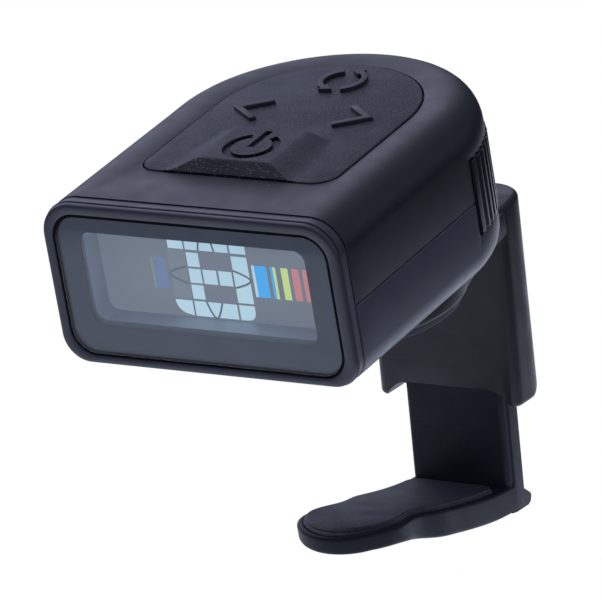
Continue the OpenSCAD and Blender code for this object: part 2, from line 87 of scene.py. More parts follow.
HALF_W = bezel_high.x
HEAD_L = shell_high.y
HEAD_LOW, HEAD_H = bezel_low.z, bezel_high.z
BEZEL_D = bezel_high.y
ARC_Y = HEAD_L - HALF_W  # centre of the round back
SEAM_Z = shell_low.z
WALL = 1.5
TOP_FILLET = 3.1
LOW_FILLET = 2.5
KEYPAD_FLOOR, KEYPAD_TOP = keypad_low.z, keypad_high.z
SWIVEL_Y = (disc_low.y + disc_high.y) / 2
ARM_BOTTOM, ARM_TOP = disc_high.z, -1.75


def place(point):
    """A drawn point in the row frame, in metres."""
    x, y, z = point
    return Vector((x * MM, FRONT_Y + y * MM, UNDER_Z + z * MM))

# ---- outlines


def arc(cx, cy, r, start, end, steps):
    """Points on a circle from start to end degrees, both ends included."""
    points = []
    for i in range(steps + 1):
        a = math.radians(start + (end - start) * i / steps)
        points.append((cx + r * math.cos(a), cy + r * math.sin(a)))
    return points


def between(p, q, steps):
    """Points from p up to, but not including, q."""
    return [(p[0] + (q[0] - p[0]) * i / steps, p[1] + (q[1] - p[1]) * i / steps) for i in range(steps)]


def circle(cx, cy, r, count):
    """Evenly spaced points all round a circle."""
    return arc(cx, cy, r, 0, 360 - 360 / count, count - 1)


def d_outline(half, front, corner):
    """A closed outline in plan: flat front with round corners, straight sides and a round back.
    It starts at the middle of the front edge and runs towards +x."""
    right = between((0, front), (half - corner, front), 8)
    right += arc(half - corner, front + corner, corner, -90, 0, 6)[:-1]
    right += between((half, front + corner), (half, ARC_Y), 10)
    right += arc(0, ARC_Y, half, 0, 90, 36)
    return mirrored(right)


def mirrored(right):
    """Closes a right half outline, which runs from the middle of the front to the middle of the back."""
    return right + [(-x, y) for x, y in reversed(right[1:-1])]


def rect_outline(half, low, high, r_low, r_high):
    """A closed upright rectangle with round corners, different below and above."""
    corners = [(half - r_low, low + r_low, r_low, -90), (half - r_high, high - r_high, r_high, 0),
               (r_high - half, high - r_high, r_high, 90), (r_low - half, low + r_low, r_low, 180)]
    arcs = [arc(x, z, r, start, start + 90, 12) for x, z, r, start in corners]
    points = []
    for before, after in zip(arcs[-1:] + arcs[:-1], arcs):
        points += between(before[-1], after[0], 4) + after[:-1]
    return points


def fillet_steps(radius, steps):
    """(inset, rise) pairs of a quarter round, from the side to the top."""
    pairs = []
    for i in range(steps + 1):
        a = math.radians(90 * i / steps)
        pairs.append((radius * (1 - math.cos(a)), radius * math.sin(a)))
    return pairs


def rounded_low(radius, steps, loop):
    """Loops of a rounded lower edge; loop(inset, rise) makes one at a height over the edge."""
    return [loop(inset, radius - rise) for inset, rise in reversed(fillet_steps(radius, steps))]


def rounded_top(radius, steps, loop):
    """Loops of a rounded upper edge; rise is negative here, since they lie below the edge."""
    return [loop(inset, rise - radius) for inset, rise in fillet_steps(radius, steps)]


def smooth(t):
    """A soft step from 0 to 1."""
    t = max(0.0, min(1.0, t))
    return t * t * (3 - 2 * t)


def flat(outline, z):
    return [(x, y, z) for x, y in outline]


def upright(outline, y):
    return [(x, y, z) for x, z in outline]

# ---- mesh makers


def link_object(name, data):
    obj = bpy.data.objects.new(name, data)
    bpy.context.scene.collection.objects.link(obj)
    return obj


def mesh_object(name, bm):
    mesh = bpy.data.meshes.new(name)
    bm.to_mesh(mesh)
    bm.free()
    return link_object(name, mesh)


def finish_mesh(name, bm, body, material, replaces, sharp=32):
    """Turns a drawn bmesh into a piece that rides on a body. Edges are sharp from the given angle up."""
    for v in bm.verts:
        v.co = place(v.co)
    bmesh.ops.remove_doubles(bm, verts=bm.verts, dist=1e-7)
    bmesh.ops.recalc_face_normals(bm, faces=bm.faces)
    for face in bm.faces:
        face.smooth = True
    for edge in bm.edges:
        edge.smooth = len(edge.link_faces) == 2 and edge.calc_face_angle(0) < math.radians(sharp)
    obj = mesh_object(name, bm)
    obj.data.materials.append(material)
    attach(obj, body)
    if replaces:
        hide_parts(*replaces)


def add_loft(bm, loops, closed=False, caps=True):
    """Quads between equal-length loops. closed joins the last loop to the first."""
    rows = [[bm.verts.new(p) for p in loop] for loop in loops]
    count = len(rows[0])
    pairs = list(zip(rows, rows[1:]))
    if closed:
        pairs.append((rows[-1], rows[0]))
    for a, b in pairs:
        for i in range(count):
            j = (i + 1) % count
            bm.faces.new((a[i], a[j], b[j], b[i]))
    if caps and not closed:
        bm.faces.new(list(reversed(rows[0])))
        bm.faces.new(rows[-1])
    return rows


def loft_bmesh(loops, closed=False):
    bm = bmesh.new()
    add_loft(bm, loops, closed)
    return bm


def ruled_bmesh(loops):
    """A loft of mirrored loops whose ends are closed by strips straight across from left to right."""
    bm = bmesh.new()
    rows = add_loft(bm, loops, caps=False)
    count = len(loops[0])
    for row, flip in ((rows[0], True), (rows[-1], False)):
        for i in range(count // 2):
            corners = [row[i], row[i + 1], row[(count - i - 1) % count], row[(count - i) % count]]
            corners = list(dict.fromkeys(corners))
            if len(corners) > 2:
                bm.faces.new(corners[::-1] if flip else corners)
    return bm


def disc_bmesh(cx, cy, r, count, low, high):
    """An upright cylinder."""
    return loft_bmesh([flat(circle(cx, cy, r, count), z) for z in (low, high)])


def bar_bmesh(profile, half_x):
    """A profile in y-z drawn out across the part, to half_x on each side."""
    return loft_bmesh([[(x, y, z) for y, z in profile] for x in (-half_x, half_x)])


def box_bmesh(low, high):
    bm = bmesh.new()
    bmesh.ops.create_cube(bm, size=1)
    for v in bm.verts:
        v.co = Vector([low[i] if v.co[i] < 0 else high[i] for i in range(3)])
    return bm


def tool_object(bm):
    """A temporary object, in drawn millimetres, for a boolean cut."""
    bmesh.ops.recalc_face_normals(bm, faces=bm.faces)
    return mesh_object("tool", bm)


def modify(obj, kind, **settings):
    modifier = obj.modifiers.new(kind, kind)
    for key, value in settings.items():
        setattr(modifier, key, value)


def cut_bmesh(bm, cuts, joins=(), bevel=0.0, segments=2, angle=40):
    """bm with solids joined on and cut away, then its sharp edges rounded."""
    base = tool_object(bm)
    tools = []
    for other, operation in [(j, "UNION") for j in joins] + [(c, "DIFFERENCE") for c in cuts]:
        tools.append(tool_object(other))
        modify(base, "BOOLEAN", operation=operation, object=tools[-1], solver="EXACT")
    if bevel:
        modify(base, "BEVEL", width=bevel, segments=segments, limit_method="ANGLE",
               angle_limit=math.radians(angle), use_clamp_overlap=True, miter_outer="MITER_ARC")
    bpy.context.view_layer.update()
    graph = bpy.context.evaluated_depsgraph_get()
    mesh = bpy.data.meshes.new_from_object(base.evaluated_get(graph))
    result = bmesh.new()
    result.from_mesh(mesh)
    bpy.data.meshes.remove(mesh)
    for obj in [base] + tools:
        bpy.data.objects.remove(obj)
    return result

# ---- materials


class Nodes:
    """A short way to write a node tree. owner is a new material or world."""

    def __init__(self, owner, output="ShaderNodeOutputMaterial", space="Object"):
        owner.use_nodes = True
        self.owner = owner
        self.tree = owner.node_tree
        self.tree.nodes.clear()
        self.out = self.tree.nodes.new(output)
        self.coords = self.tree.nodes.new("ShaderNodeTexCoord").outputs[space]

    def add(self, kind, inputs=None, **settings):
        node = self.tree.nodes.new(kind)
        for key, value in settings.items():
            setattr(node, key, value)
        for key, value in (inputs or {}).items():
            self.join(value, node.inputs[key])
        return node

    def join(self, value, socket):
        if isinstance(value, bpy.types.NodeSocket):
            self.tree.links.new(value, socket)
        else:
            socket.default_value = value

    def noise(self, scale, detail=2.0, roughness=0.5, vector=None):
        return self.add("ShaderNodeTexNoise", {"Vector": vector or self.coords, "Scale": scale,
                                               "Detail": detail, "Roughness": roughness}).outputs["Fac"]

    def stretched(self, scale, rotation=(0, 0, 0)):
        return self.add("ShaderNodeMapping", {"Vector": self.coords, "Scale": scale,
                                              "Rotation": rotation}).outputs["Vector"]

    def ramp(self, value, low, high, first=0.0, last=1.0):
        """Greys from first to last as the value goes from low to high."""
        node = self.add("ShaderNodeValToRGB", {"Fac": value})
        for element, position, grey in zip(node.color_ramp.elements, (low, high), (first, last)):
            element.position = position
            element.color = (grey, grey, grey, 1)
        return node.outputs["Color"]

    def fade(self, value, low, high, first=0.0, last=1.0):
        """Like ramp, but for any numbers and with soft ends."""
        return self.add("ShaderNodeMapRange", {
            "Value": value, "From Min": low, "From Max": high, "To Min": first, "To Max": last},
            interpolation_type="SMOOTHSTEP").outputs[0]

    def math(self, operation, a, b):
        return self.add("ShaderNodeMath", {0: a, 1: b}, operation=operation).outputs[0]

    def vector_math(self, operation, *values):
        return self.add("ShaderNodeVectorMath", dict(enumerate(values)), operation=operation)

    def mix(self, factor, a, b):
        colours = [c if not isinstance(c, tuple) else (*c, 1) for c in (a, b)]
        return self.add("ShaderNodeMix", {0: factor, 6: colours[0], 7: colours[1]},
                        data_type="RGBA", blend_type="MIX").outputs[2]

    def cover(self, base, colour, mask, strength):
        """Lays a colour over the base where the mask is white."""
        return self.mix(self.math("MULTIPLY", mask, strength), base, colour)

    def dots(self, scale, radius, share):
        """White dots in a share of the cells of a cell pattern."""
        cells = self.add("ShaderNodeTexVoronoi", {"Vector": self.coords, "Scale": scale, "Randomness": 1.0})
        near = self.math("LESS_THAN", cells.outputs["Distance"], radius)
        red = self.add("ShaderNodeSeparateColor", {"Color": cells.outputs["Color"]}).outputs[0]
        return self.math("MULTIPLY", near, self.math("GREATER_THAN", red, 1.0 - share))

    def bump(self, height, strength, distance, normal=None):
        inputs = {"Height": height, "Strength": strength, "Distance": distance}
        if normal is not None:
            inputs["Normal"] = normal
        return self.add("ShaderNodeBump", inputs).outputs["Normal"]

    def camera_ray(self):
        return self.add("ShaderNodeLightPath").outputs["Is Camera Ray"]

    def surface(self, shader):
        self.tree.links.new(shader.outputs[0], self.out.inputs["Surface"])
        return self.owner


def scaled(colour, factor):
    return tuple(c * factor for c in colour)


def grey_blue(level):
    """A near-black plastic colour, slightly blue, as linear RGB."""
    return (level * 0.88, level * 0.97, level * 1.38)


DUST = (0.5, 0.5, 0.52)
# tone of the painted glints on faces that slant to the front
PAINTED_GLINT_TONE = (0.36, 0.4, 0.4)
# tint of the painted glow that makes a surface look lit
PAINTED_GLOW_TINT = (0.8, 0.88, 1.0, 1.0)


def moulded(name, colour, rough=0.45, grain=9000.0, grain_depth=0.12, speck=0.0, coat=0.0, edge_wear_and_highlight=0.25,
            specular=0.5, scratches=0.0, mottle=0.0, glow=0.0, front_painted_shade=0.0):
    """Moulded plastic or rubber: fine grain, slow colour and gloss changes, dust specks, and edge wear whose
    lighter convex edges are also a painted highlight.
    It can also paint a faint glow, and paint shade and glints (as bright grains) on faces that slant to the
    front."""
    n = Nodes(bpy.data.materials.new(name))
    base = n.mix(n.ramp(n.noise(160.0, 3.0), 0.3, 0.7), colour, scaled(colour, 1.25))
    if mottle:
        spots = n.ramp(n.noise(grain * 1.3, 1.0, 0.6), 0.42, 0.68)
        base = n.cover(base, scaled(colour, 1 + 1.6 * mottle), spots, min(1.0, mottle))
    # lighter convex edges: partly real edge wear, partly a painted highlight where the edges catch light
    wear_and_highlight_tone = tuple(min(1.0, c * 2.2 + 0.02) for c in colour)
    convex = n.ramp(n.add("ShaderNodeNewGeometry").outputs["Pointiness"], 0.52, 0.62)
    base = n.cover(base, wear_and_highlight_tone, convex, edge_wear_and_highlight)
    if speck:
        base = n.cover(base, DUST, n.dots(900.0, 0.075, speck), 0.5)
    # painted shade on faces that slant to the front, with painted glints strewn on them; their gloss is
    # lowered too
    if front_painted_shade:
        normal_y = n.add("ShaderNodeSeparateXYZ", {
            "Vector": n.add("ShaderNodeTexCoord").outputs["Normal"]}).outputs[1]
        facing = n.ramp(n.math("MULTIPLY", normal_y, -1.0), 0.2, 0.4)
        base = n.cover(base, scaled(colour, 0.3), facing, front_painted_shade)
        painted_glints = n.math("MULTIPLY", n.dots(4300.0, 0.24, 0.6), facing)
        base = n.cover(base, PAINTED_GLINT_TONE, painted_glints, 0.4)
        specular = n.math("SUBTRACT", specular, n.math("MULTIPLY", facing, 0.5 * specular))
    normal = n.bump(n.noise(grain, 2.0, 0.6), grain_depth, 0.00004)
    if scratches:
        lines = n.noise(700.0, 2.0, vector=n.stretched((0.15, 1.0, 6.0), (0.3, 0.5, 0.2)))
        base = n.cover(base, wear_and_highlight_tone, n.ramp(lines, 0.62, 0.66), scratches)
        normal = n.bump(lines, 0.1 * scratches, 0.00003, normal)
    # the glow setting paints a faint tinted glow, so the surface looks lit though it is no lamp
    return n.surface(n.add("ShaderNodeBsdfPrincipled", {
        "Base Color": base, "Roughness": n.ramp(n.noise(420.0, 4.0), 0.3, 0.7, rough - 0.05, rough + 0.06),
        "Normal": normal, "Specular IOR Level": specular, "Coat Weight": coat, "Coat Roughness": 0.25,
        "Emission Color": PAINTED_GLOW_TINT, "Emission Strength": glow}))


def metal(name, colour, rough):
    """Brushed metal."""
    n = Nodes(bpy.data.materials.new(name))
    lines = n.noise(1500.0, 3.0, vector=n.stretched((1.0, 1.0, 12.0)))
    return n.surface(n.add("ShaderNodeBsdfPrincipled", {
        "Base Color": n.mix(n.ramp(n.noise(300.0, 3.0), 0.3, 0.7), colour, scaled(colour, 0.78)),
        "Metallic": 1.0, "Roughness": n.ramp(lines, 0.3, 0.7, rough - 0.08, rough + 0.1),
        "Normal": n.bump(lines, 0.15, 0.00003)}))


def lit(name, colour, colour2=None):
    """A lit display area: its own light with a faint gradient and grain, under a smooth film."""
    n = Nodes(bpy.data.materials.new(name))
    tone = n.mix(n.ramp(n.noise(90.0, 1.0), 0.35, 0.65), colour, colour2 or scaled(colour, 0.9))
    tone = n.cover(tone, (0.0, 0.0, 0.0), n.noise(6000.0, 2.0), 0.06)
    return n.surface(n.add("ShaderNodeBsdfPrincipled", {
        "Base Color": (0.02, 0.02, 0.02, 1), "Roughness": 0.35, "Emission Color": tone,
        "Emission Strength": 1.0, "Specular IOR Level": 0.3}))


def lens_material():
    """Thin clear plastic: see-through, with mirror reflections that grow at a slant."""
    n = Nodes(bpy.data.materials.new("lens_clear"))
    clear = n.add("ShaderNodeBsdfTransparent", {"Color": (0.93, 0.95, 0.97, 1)})
    shine = n.add("ShaderNodeBsdfGlossy", {
        "Color": (1, 1, 1, 1), "Roughness": n.ramp(n.noise(350.0, 3.0), 0.3, 0.7, 0.02, 0.06)})
    outside = n.math("SUBTRACT", 1.0, n.add("ShaderNodeNewGeometry").outputs["Backfacing"])
    amount = n.math("MULTIPLY", n.add("ShaderNodeFresnel", {"IOR": 1.33}).outputs["Fac"], outside)
    return n.surface(n.add("ShaderNodeMixShader", {0: amount, 1: clear.outputs[0], 2: shine.outputs[0]}))


# the lower case half's base colour is raised well above the upper half's, as painted light standing in for
# the light from the table below
CASE_TOP = moulded("case_top_plastic", grey_blue(0.012), rough=0.42, grain=7000.0, speck=0.012, edge_wear_and_highlight=0.1,
                   mottle=0.35)
CASE_LOW_PAINTED_LIGHTER = moulded("case_low_plastic_painted_lighter", grey_blue(0.05), rough=0.38, grain=7000.0, speck=0.012, edge_wear_and_highlight=0.1,
                   mottle=0.2, specular=0.95)
BEZEL = moulded("bezel_plastic", grey_blue(0.038), rough=0.4, speck=0.015, mottle=0.25)
KEYPAD = moulded("keypad_rubber", grey_blue(0.0165), rough=0.6, grain=5600.0, grain_depth=2.4, speck=0.03,
                 mottle=1.2)
# key rubber: edge wear with a painted highlight, and painted shade and glints on its front faces
KEY = moulded("key_rubber", grey_blue(0.017), rough=0.6, grain=5600.0, grain_depth=2.0, speck=0.03,
              edge_wear_and_highlight=0.5, mottle=1.0, front_painted_shade=0.75)
SYMBOL = moulded("symbol_rubber", grey_blue(0.013), rough=0.5, grain=5200.0, grain_depth=0.4, edge_wear_and_highlight=0.35,
                 mottle=0.6)
TRAY = moulded("tray_plastic", grey_blue(0.008), rough=0.3, coat=0.1, edge_wear_and_highlight=0.35)
# the jaw's base colour is raised above the clamp's as painted light, to offset the shade on the leg and foot;
# the clamp's is lowered where it is lit
CLAMP = moulded("clamp_plastic", grey_blue(0.008), rough=0.4, grain=6000.0, grain_depth=0.35, speck=0.01,
                scratches=0.1, edge_wear_and_highlight=0.2, specular=0.42, mottle=0.5)
JAW_PAINTED_LIGHTER = moulded("jaw_plastic_painted_lighter", grey_blue(0.013), rough=0.42, grain=6000.0, grain_depth=0.35, speck=0.012,
              scratches=0.06, specular=0.14, mottle=0.5)
RUBBER = moulded("pad_rubber", grey_blue(0.019), rough=0.62, grain=3800.0, grain_depth=0.7, speck=0.1,
                 edge_wear_and_highlight=0.4, mottle=0.8)
# the display holder gets a faint painted glow, so its walls look lit
HOLDER_PAINTED_GLOW = moulded("holder_plastic_painted_glow", (0.3, 0.33, 0.38), rough=0.4, glow=0.05)
PRINT = moulded("lens_print", (0.064, 0.071, 0.09), rough=0.35, grain_depth=0.02, edge_wear_and_highlight=0.0)
SEAL = moulded("seal_rubber", grey_blue(0.002), rough=0.7, edge_wear_and_highlight=0.0, specular=0.1)
WHITE_PLASTIC = moulded("friction_plastic", (0.6, 0.58, 0.52), rough=0.5)
STEEL = metal("steel", (0.62, 0.63, 0.65), 0.3)
DARK_STEEL = metal("dark_steel", (0.2, 0.2, 0.21), 0.38)
BRASS = metal("brass", (0.78, 0.6, 0.28), 0.3)
BOARD = moulded("board_mask", (0.01, 0.09, 0.04), rough=0.35, coat=0.4, edge_wear_and_highlight=0.1)
CHIP = moulded("chip_epoxy", (0.012, 0.012, 0.014), rough=0.5)
CERAMIC = moulded("ceramic", (0.3, 0.2, 0.12), rough=0.4)
RIBBON = moulded("ribbon_film", (0.35, 0.14, 0.03), rough=0.3, coat=0.3)
GUIDE = moulded("guide_clear", (0.7, 0.74, 0.78), rough=0.4)
LED = moulded("led_phosphor", (0.8, 0.75, 0.4), rough=0.4)
LENS = lens_material()

NODE_MATERIALS = {
    "display_holder": HOLDER_PAINTED_GLOW, "light_guide": GUIDE, "backlight_leds": LED, "display_ribbon": RIBBON,
    "main_board": BOARD, "controller_chip": CHIP, "board_parts": CERAMIC, "key_domes": STEEL,
    "board_screws": DARK_STEEL, "contact_positive": BRASS, "contact_negative": BRASS,
    "piezo_sensor": BRASS, "case_screws": DARK_STEEL, "coin_cell": STEEL, "swivel_post": STEEL,
    "friction_washer": WHITE_PLASTIC, "retaining_washer": STEEL, "swivel_screw": DARK_STEEL,
    "latch_pin": STEEL, "latch_spring": STEEL, "upper_shell": CASE_TOP, "lower_shell": CASE_LOW_PAINTED_LIGHTER,
    "display_bezel": BEZEL, "display_lens": LENS, "lens_gasket": PRINT, "keypad_mat": KEYPAD,
    "power_key": KEYPAD, "left_key": SYMBOL, "right_key": SYMBOL, "flip_key": SYMBOL,
    "battery_tray": TRAY, "clamp_bracket": CLAMP, "upper_jaw_pad": RUBBER, "release_latch": CLAMP,
    "lower_jaw": JAW_PAINTED_LIGHTER, "lower_jaw_pad": RUBBER, "lcd_panel": HOLDER_PAINTED_GLOW,
}
for node_name, node_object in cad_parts.items():
    node_object.data.materials.clear()
    node_object.data.materials.append(NODE_MATERIALS[node_name])

# ---- head: case halves

SEAM_CHAMFER = 0.09
BACK_FULLNESS = 0.2
CORNER = 0.1
KEYPAD_CORNER = 1.9
KEYPAD_LEFT = 0.938  # width of the keypad's left half over that of its right half
KEYPAD_GAP, POCKET_RIM = 0.12, 0.07  # joint round the keypad and the rounding of its edge
SLOT_FRONT = 21.15  # where the drawer's slot begins
SLOT_GAP = 0.14
COLLAR_R, POST_BORE_R = 6.5, 3.05
SCREW_X, SCREW_Y, SCREW_BORE_R, SCREW_HEAD_R = 10.6, 9.4, 0.95, 1.6


def fuller_back(outline, inset):
    """Pushes the round back of an inset outline out again a little, for a tighter fillet there."""
    points = []
    for x, y in outline:
        grow = 1 + BACK_FULLNESS * inset / HALF_W * smooth((y - ARC_Y + 2) / 9)
        points.append((x * grow, ARC_Y + (y - ARC_Y) * grow if y > ARC_Y else y))
    return points


def case_loops(low, high, fillet_low, fillet_high):
    """Side loops of a case half, from its lower to its upper edge, with a fillet at one of them."""
    def side(inset, height):
        return flat(d_outline(HALF_W - inset, BEZEL_D, CORNER), height)

    def shoulder(inset, height):
        return flat(fuller_back(d_outline(HALF_W - inset, BEZEL_D, CORNER), inset), height)

    if fillet_low:
        loops = rounded_low(fillet_low, 10, lambda inset, rise: side(inset, low + rise))
    else:
        loops = [side(SEAM_CHAMFER, low), side(0, low + SEAM_CHAMFER)]
    if fillet_high:
        loops += rounded_top(fillet_high, 12, lambda inset, rise: shoulder(inset, high + rise))
        loops.append(shoulder(fillet_high + 0.25, high))
    else:
        loops += [side(0, high - SEAM_CHAMFER), side(SEAM_CHAMFER, high)]
    return loops


def cavity_bmesh(low, high):
    outline = d_outline(HALF_W - WALL, BEZEL_D - 0.6, 0.5)
    return loft_bmesh([flat(outline, low), flat(outline, high)])


def drawer_bmesh():
    """The room for the drawer, to be cut out of the case."""
    return box_bmesh((-2 * HALF_W, SLOT_FRONT, tray_low.z - SLOT_GAP),
                     (2 * HALF_W, 2 * HEAD_L, tray_high.z + SLOT_GAP))


def keypad_outline(inset):
    """The keypad's outline; its left half is a little narrower."""
    outline = d_outline(keypad_high.x - inset, keypad_low.y + inset, max(0.05, KEYPAD_CORNER - inset))
    return [(x if x > 0 else x * KEYPAD_LEFT, y) for x, y in outline]


def build_case_top():
    loops = case_loops(SEAM_Z, HEAD_H, 0, TOP_FILLET)
    for rim, drop in ((1, 0), (0.4, 0.3), (0, 1)):
        loops.append(flat(keypad_outline(-KEYPAD_GAP - rim * POCKET_RIM), HEAD_H - drop * POCKET_RIM))
    loops.append(flat(keypad_outline(-KEYPAD_GAP), KEYPAD_FLOOR))
    cuts = [cavity_bmesh(SEAM_Z - 1, KEYPAD_FLOOR - 0.6), drawer_bmesh()]
    solid = cut_bmesh(loft_bmesh(loops), cuts, bevel=0.06)
    finish_mesh("case_top", solid, "head", CASE_TOP, ["upper_shell"])


def build_case_bottom():
    high = SEAM_Z - 0.08
    collar = disc_bmesh(0, SWIVEL_Y, COLLAR_R, 120, -1.2, 0.5)
    cuts = [cavity_bmesh(WALL, high + 1), drawer_bmesh(), disc_bmesh(0, SWIVEL_Y, POST_BORE_R, 72, -2, 3)]
    for side in (-1, 1):
        for radius, top in ((SCREW_HEAD_R, 1.2), (SCREW_BORE_R, 3)):
            cuts.append(disc_bmesh(side * SCREW_X, SCREW_Y, radius, 36, -1, top))
    solid = cut_bmesh(loft_bmesh(case_loops(HEAD_LOW, high, LOW_FILLET, 0)), cuts, [collar], bevel=0.06)
    finish_mesh("case_bottom", solid, "head", CASE_LOW_PAINTED_LIGHTER, ["lower_shell"])


build_case_top()
build_case_bottom()

# ---- head: bezel, lens and display

LENS_LOW, LENS_HIGH = HEAD_LOW + 1.0, HEAD_H - 1.2
LENS_HALF = HALF_W - 1.2
LENS_CORNER = 2.1
LENS_BACK = 0.62
BEZEL_END = BEZEL_D - 0.03
PRINT_FRONT, PRINT_BACK = 0.3, 0.34
SEAL_FRONT, SEAL_BACK = 0.12, 0.28
SEAL_OUT, SEAL_IN = -0.19, 0.08  # insets from the lens's edge
WINDOW_HALF = 10.6
WINDOW_LOW, WINDOW_HIGH = 3.2, 11.5
WINDOW_CORNER = 1.0


def rings(section, shape):
    """Loops of one upright section, from (inset, y) pairs."""
    return [upright(section(inset), y) for inset, y in shape]


def head_section(inset):
    """The head's cross section, inset all round."""
    return rect_outline(HALF_W - inset, HEAD_LOW + inset, HEAD_H - inset,
                        max(0.05, LOW_FILLET - inset), max(0.05, TOP_FILLET - inset))


def lens_section(inset):
    corner = LENS_CORNER - inset
    return rect_outline(LENS_HALF - inset, LENS_LOW + inset, LENS_HIGH - inset, corner, corner)


def window_section(inset):
    corner = WINDOW_CORNER - inset
    return rect_outline(WINDOW_HALF - inset, WINDOW_LOW + inset, WINDOW_HIGH - inset, corner, corner)


def build_bezel():
    # a slightly sloping rim, a fine groove and a narrow lip round the front edge
    loops = rings(head_section, (
        (0.13, BEZEL_END), (0.08, BEZEL_D - 0.1), (0.04, 1.0), (0.0, 0.55), (0.03, 0.5), (0.19, 0.44),
        (0.19, 0.4), (0.08, 0.35), (0.11, 0.17), (0.17, 0.08), (0.26, 0.02), (0.4, 0.0)))
    loops += rings(lens_section, ((-0.28, 0.0), (-0.23, 0.03), (-0.2, 0.1), (-0.2, BEZEL_END)))
    finish_mesh("bezel_ring", loft_bmesh(loops, closed=True), "head", BEZEL, ["display_bezel"],
                sharp=35)


def build_lens():
    shape = ((0.02, LENS_BACK), (0.0, LENS_BACK - 0.05), (0.0, 0.08), (0.03, 0.02), (0.1, 0.0))
    bm = loft_bmesh(rings(lens_section, shape))
    finish_mesh("lens_plate", bm, "head", LENS, ["display_lens"], sharp=50)


def build_print():
    """The dark border printed behind the lens."""
    loops = rings(lens_section, ((0.12, PRINT_BACK), (0.12, PRINT_FRONT)))
    loops += rings(window_section, ((0.0, PRINT_FRONT), (0.0, PRINT_BACK)))
    bm = loft_bmesh(loops, closed=True)
    finish_mesh("lens_border", bm, "head", PRINT, ["lens_gasket"], sharp=50)


def build_seal():
    """The dark seal at the bottom of the groove round the lens."""
    shape = ((SEAL_OUT, SEAL_BACK), (SEAL_OUT, SEAL_FRONT), (SEAL_IN, SEAL_FRONT), (SEAL_IN, SEAL_BACK))
    bm = loft_bmesh(rings(lens_section, shape), closed=True)
    finish_mesh("lens_seal", bm, "head", SEAL, ["lens_gasket"], sharp=50)


build_bezel()
build_lens()
build_print()
build_seal()

# display graphics, drawn just in front of the panel

LCD_BACK = lit("display_grey", (0.175, 0.2, 0.245), (0.165, 0.188, 0.232))
LCD_PALE = lit("display_pale", (0.52, 0.72, 0.82), (0.45, 0.64, 0.75))
LCD_BLUE = lit("display_blue", (0.07, 0.43, 0.9))
LCD_LIME = lit("display_lime", (0.6, 0.76, 0.28))
LCD_RED = lit("display_red", (0.6, 0.24, 0.26))
LCD_GHOST = lit("display_ghost", (0.16, 0.22, 0.37))
LCD_MOSS = lit("display_moss", (0.24, 0.29, 0.2))
LCD_FAINT = lit("display_faint", (0.2, 0.235, 0.28))
LCD_LINE = lit("display_line", (0.125, 0.145, 0.18))


def display_piece(name, outlines, material, lift=0.02):
    """Thin plates just in front of the panel."""
    bm = bmesh.new()
    for outline in outlines:
        add_loft(bm, [upright(outline, lcd_low.y - 0.003), upright(outline, lcd_low.y - lift)])
    finish_mesh(name, bm, "head", material, [], sharp=60)


def cell_outline(x0, x1, z0, z1, corner=0.0):
    """A display cell; corner is the radius at its upper right."""
    upper_right = arc(x1 - corner, z1 - corner, corner, 0, 90, 8) if corner else [(x1, z1)]
    return [(x0, z0), (x1, z0)] + upper_right + [(x0, z1)]


def stroke_curve(points, width):
    """An even stroke along a row of points, as a closed outline."""
    left, right = [], []
    for i, (x, z) in enumerate(points):
        before, after = points[max(0, i - 1)], points[min(len(points) - 1, i + 1)]
        d = Vector((after[0] - before[0], after[1] - before[1])).normalized() * width / 2
        left.append((x - d.y, z + d.x))
        right.append((x + d.y, z - d.x))
    return left + right[::-1]


def arch(tip, reach, base, sideways, low=-1.0, high=1.0):
    """Points along a pointed arch, from one end of its open base over the tip to the other."""
    points = []
    for i in range(21):
        t = low + (high - low) * i / 20
        along, across = reach * abs(t) ** 1.7, base / 2 * t
        points.append((tip[0] - along, tip[1] + across) if sideways else (tip[0] + across, tip[1] + along))
    return points


COLUMNS = [(-3.93, -2.48), (-2.3, -1.16), (-0.98, 0.3), (0.51, 1.75), (1.95, 3.42)]
ROWS = [(9.5, 10.75), (8.0, 9.24), (6.55, 7.81), (5.12, 6.37), (3.6, 4.92)]
BAR_LEVELS, FAINT_LEVELS = (5.8, 8.6), (5.12, 9.4)
BARS = {  # left edge, width and material
    "white": (3.75, 0.26, LCD_PALE), "blue": (4.04, 1.11, LCD_BLUE), "edge": (5.5, 0.24, LCD_BLUE),
    "lime1": (5.75, 0.25, LCD_LIME), "lime2": (6.5, 0.65, LCD_LIME), "red1": (7.5, 0.68, LCD_RED),
    "red2": (8.5, 0.6, LCD_RED), "ghost1": (-5.68, 1.23, LCD_GHOST), "ghost2": (-4.05, 1.6, LCD_FAINT),
    "ghost3": (-5.86, 0.17, LCD_MOSS),
}


def build_panel():
    bm = box_bmesh(lcd_low, lcd_high)
    bmesh.ops.bevel(bm, geom=list(bm.edges), offset=0.05, segments=2, affect="EDGES")
    finish_mesh("display_panel", bm, "head", LCD_BACK, ["lcd_panel"])


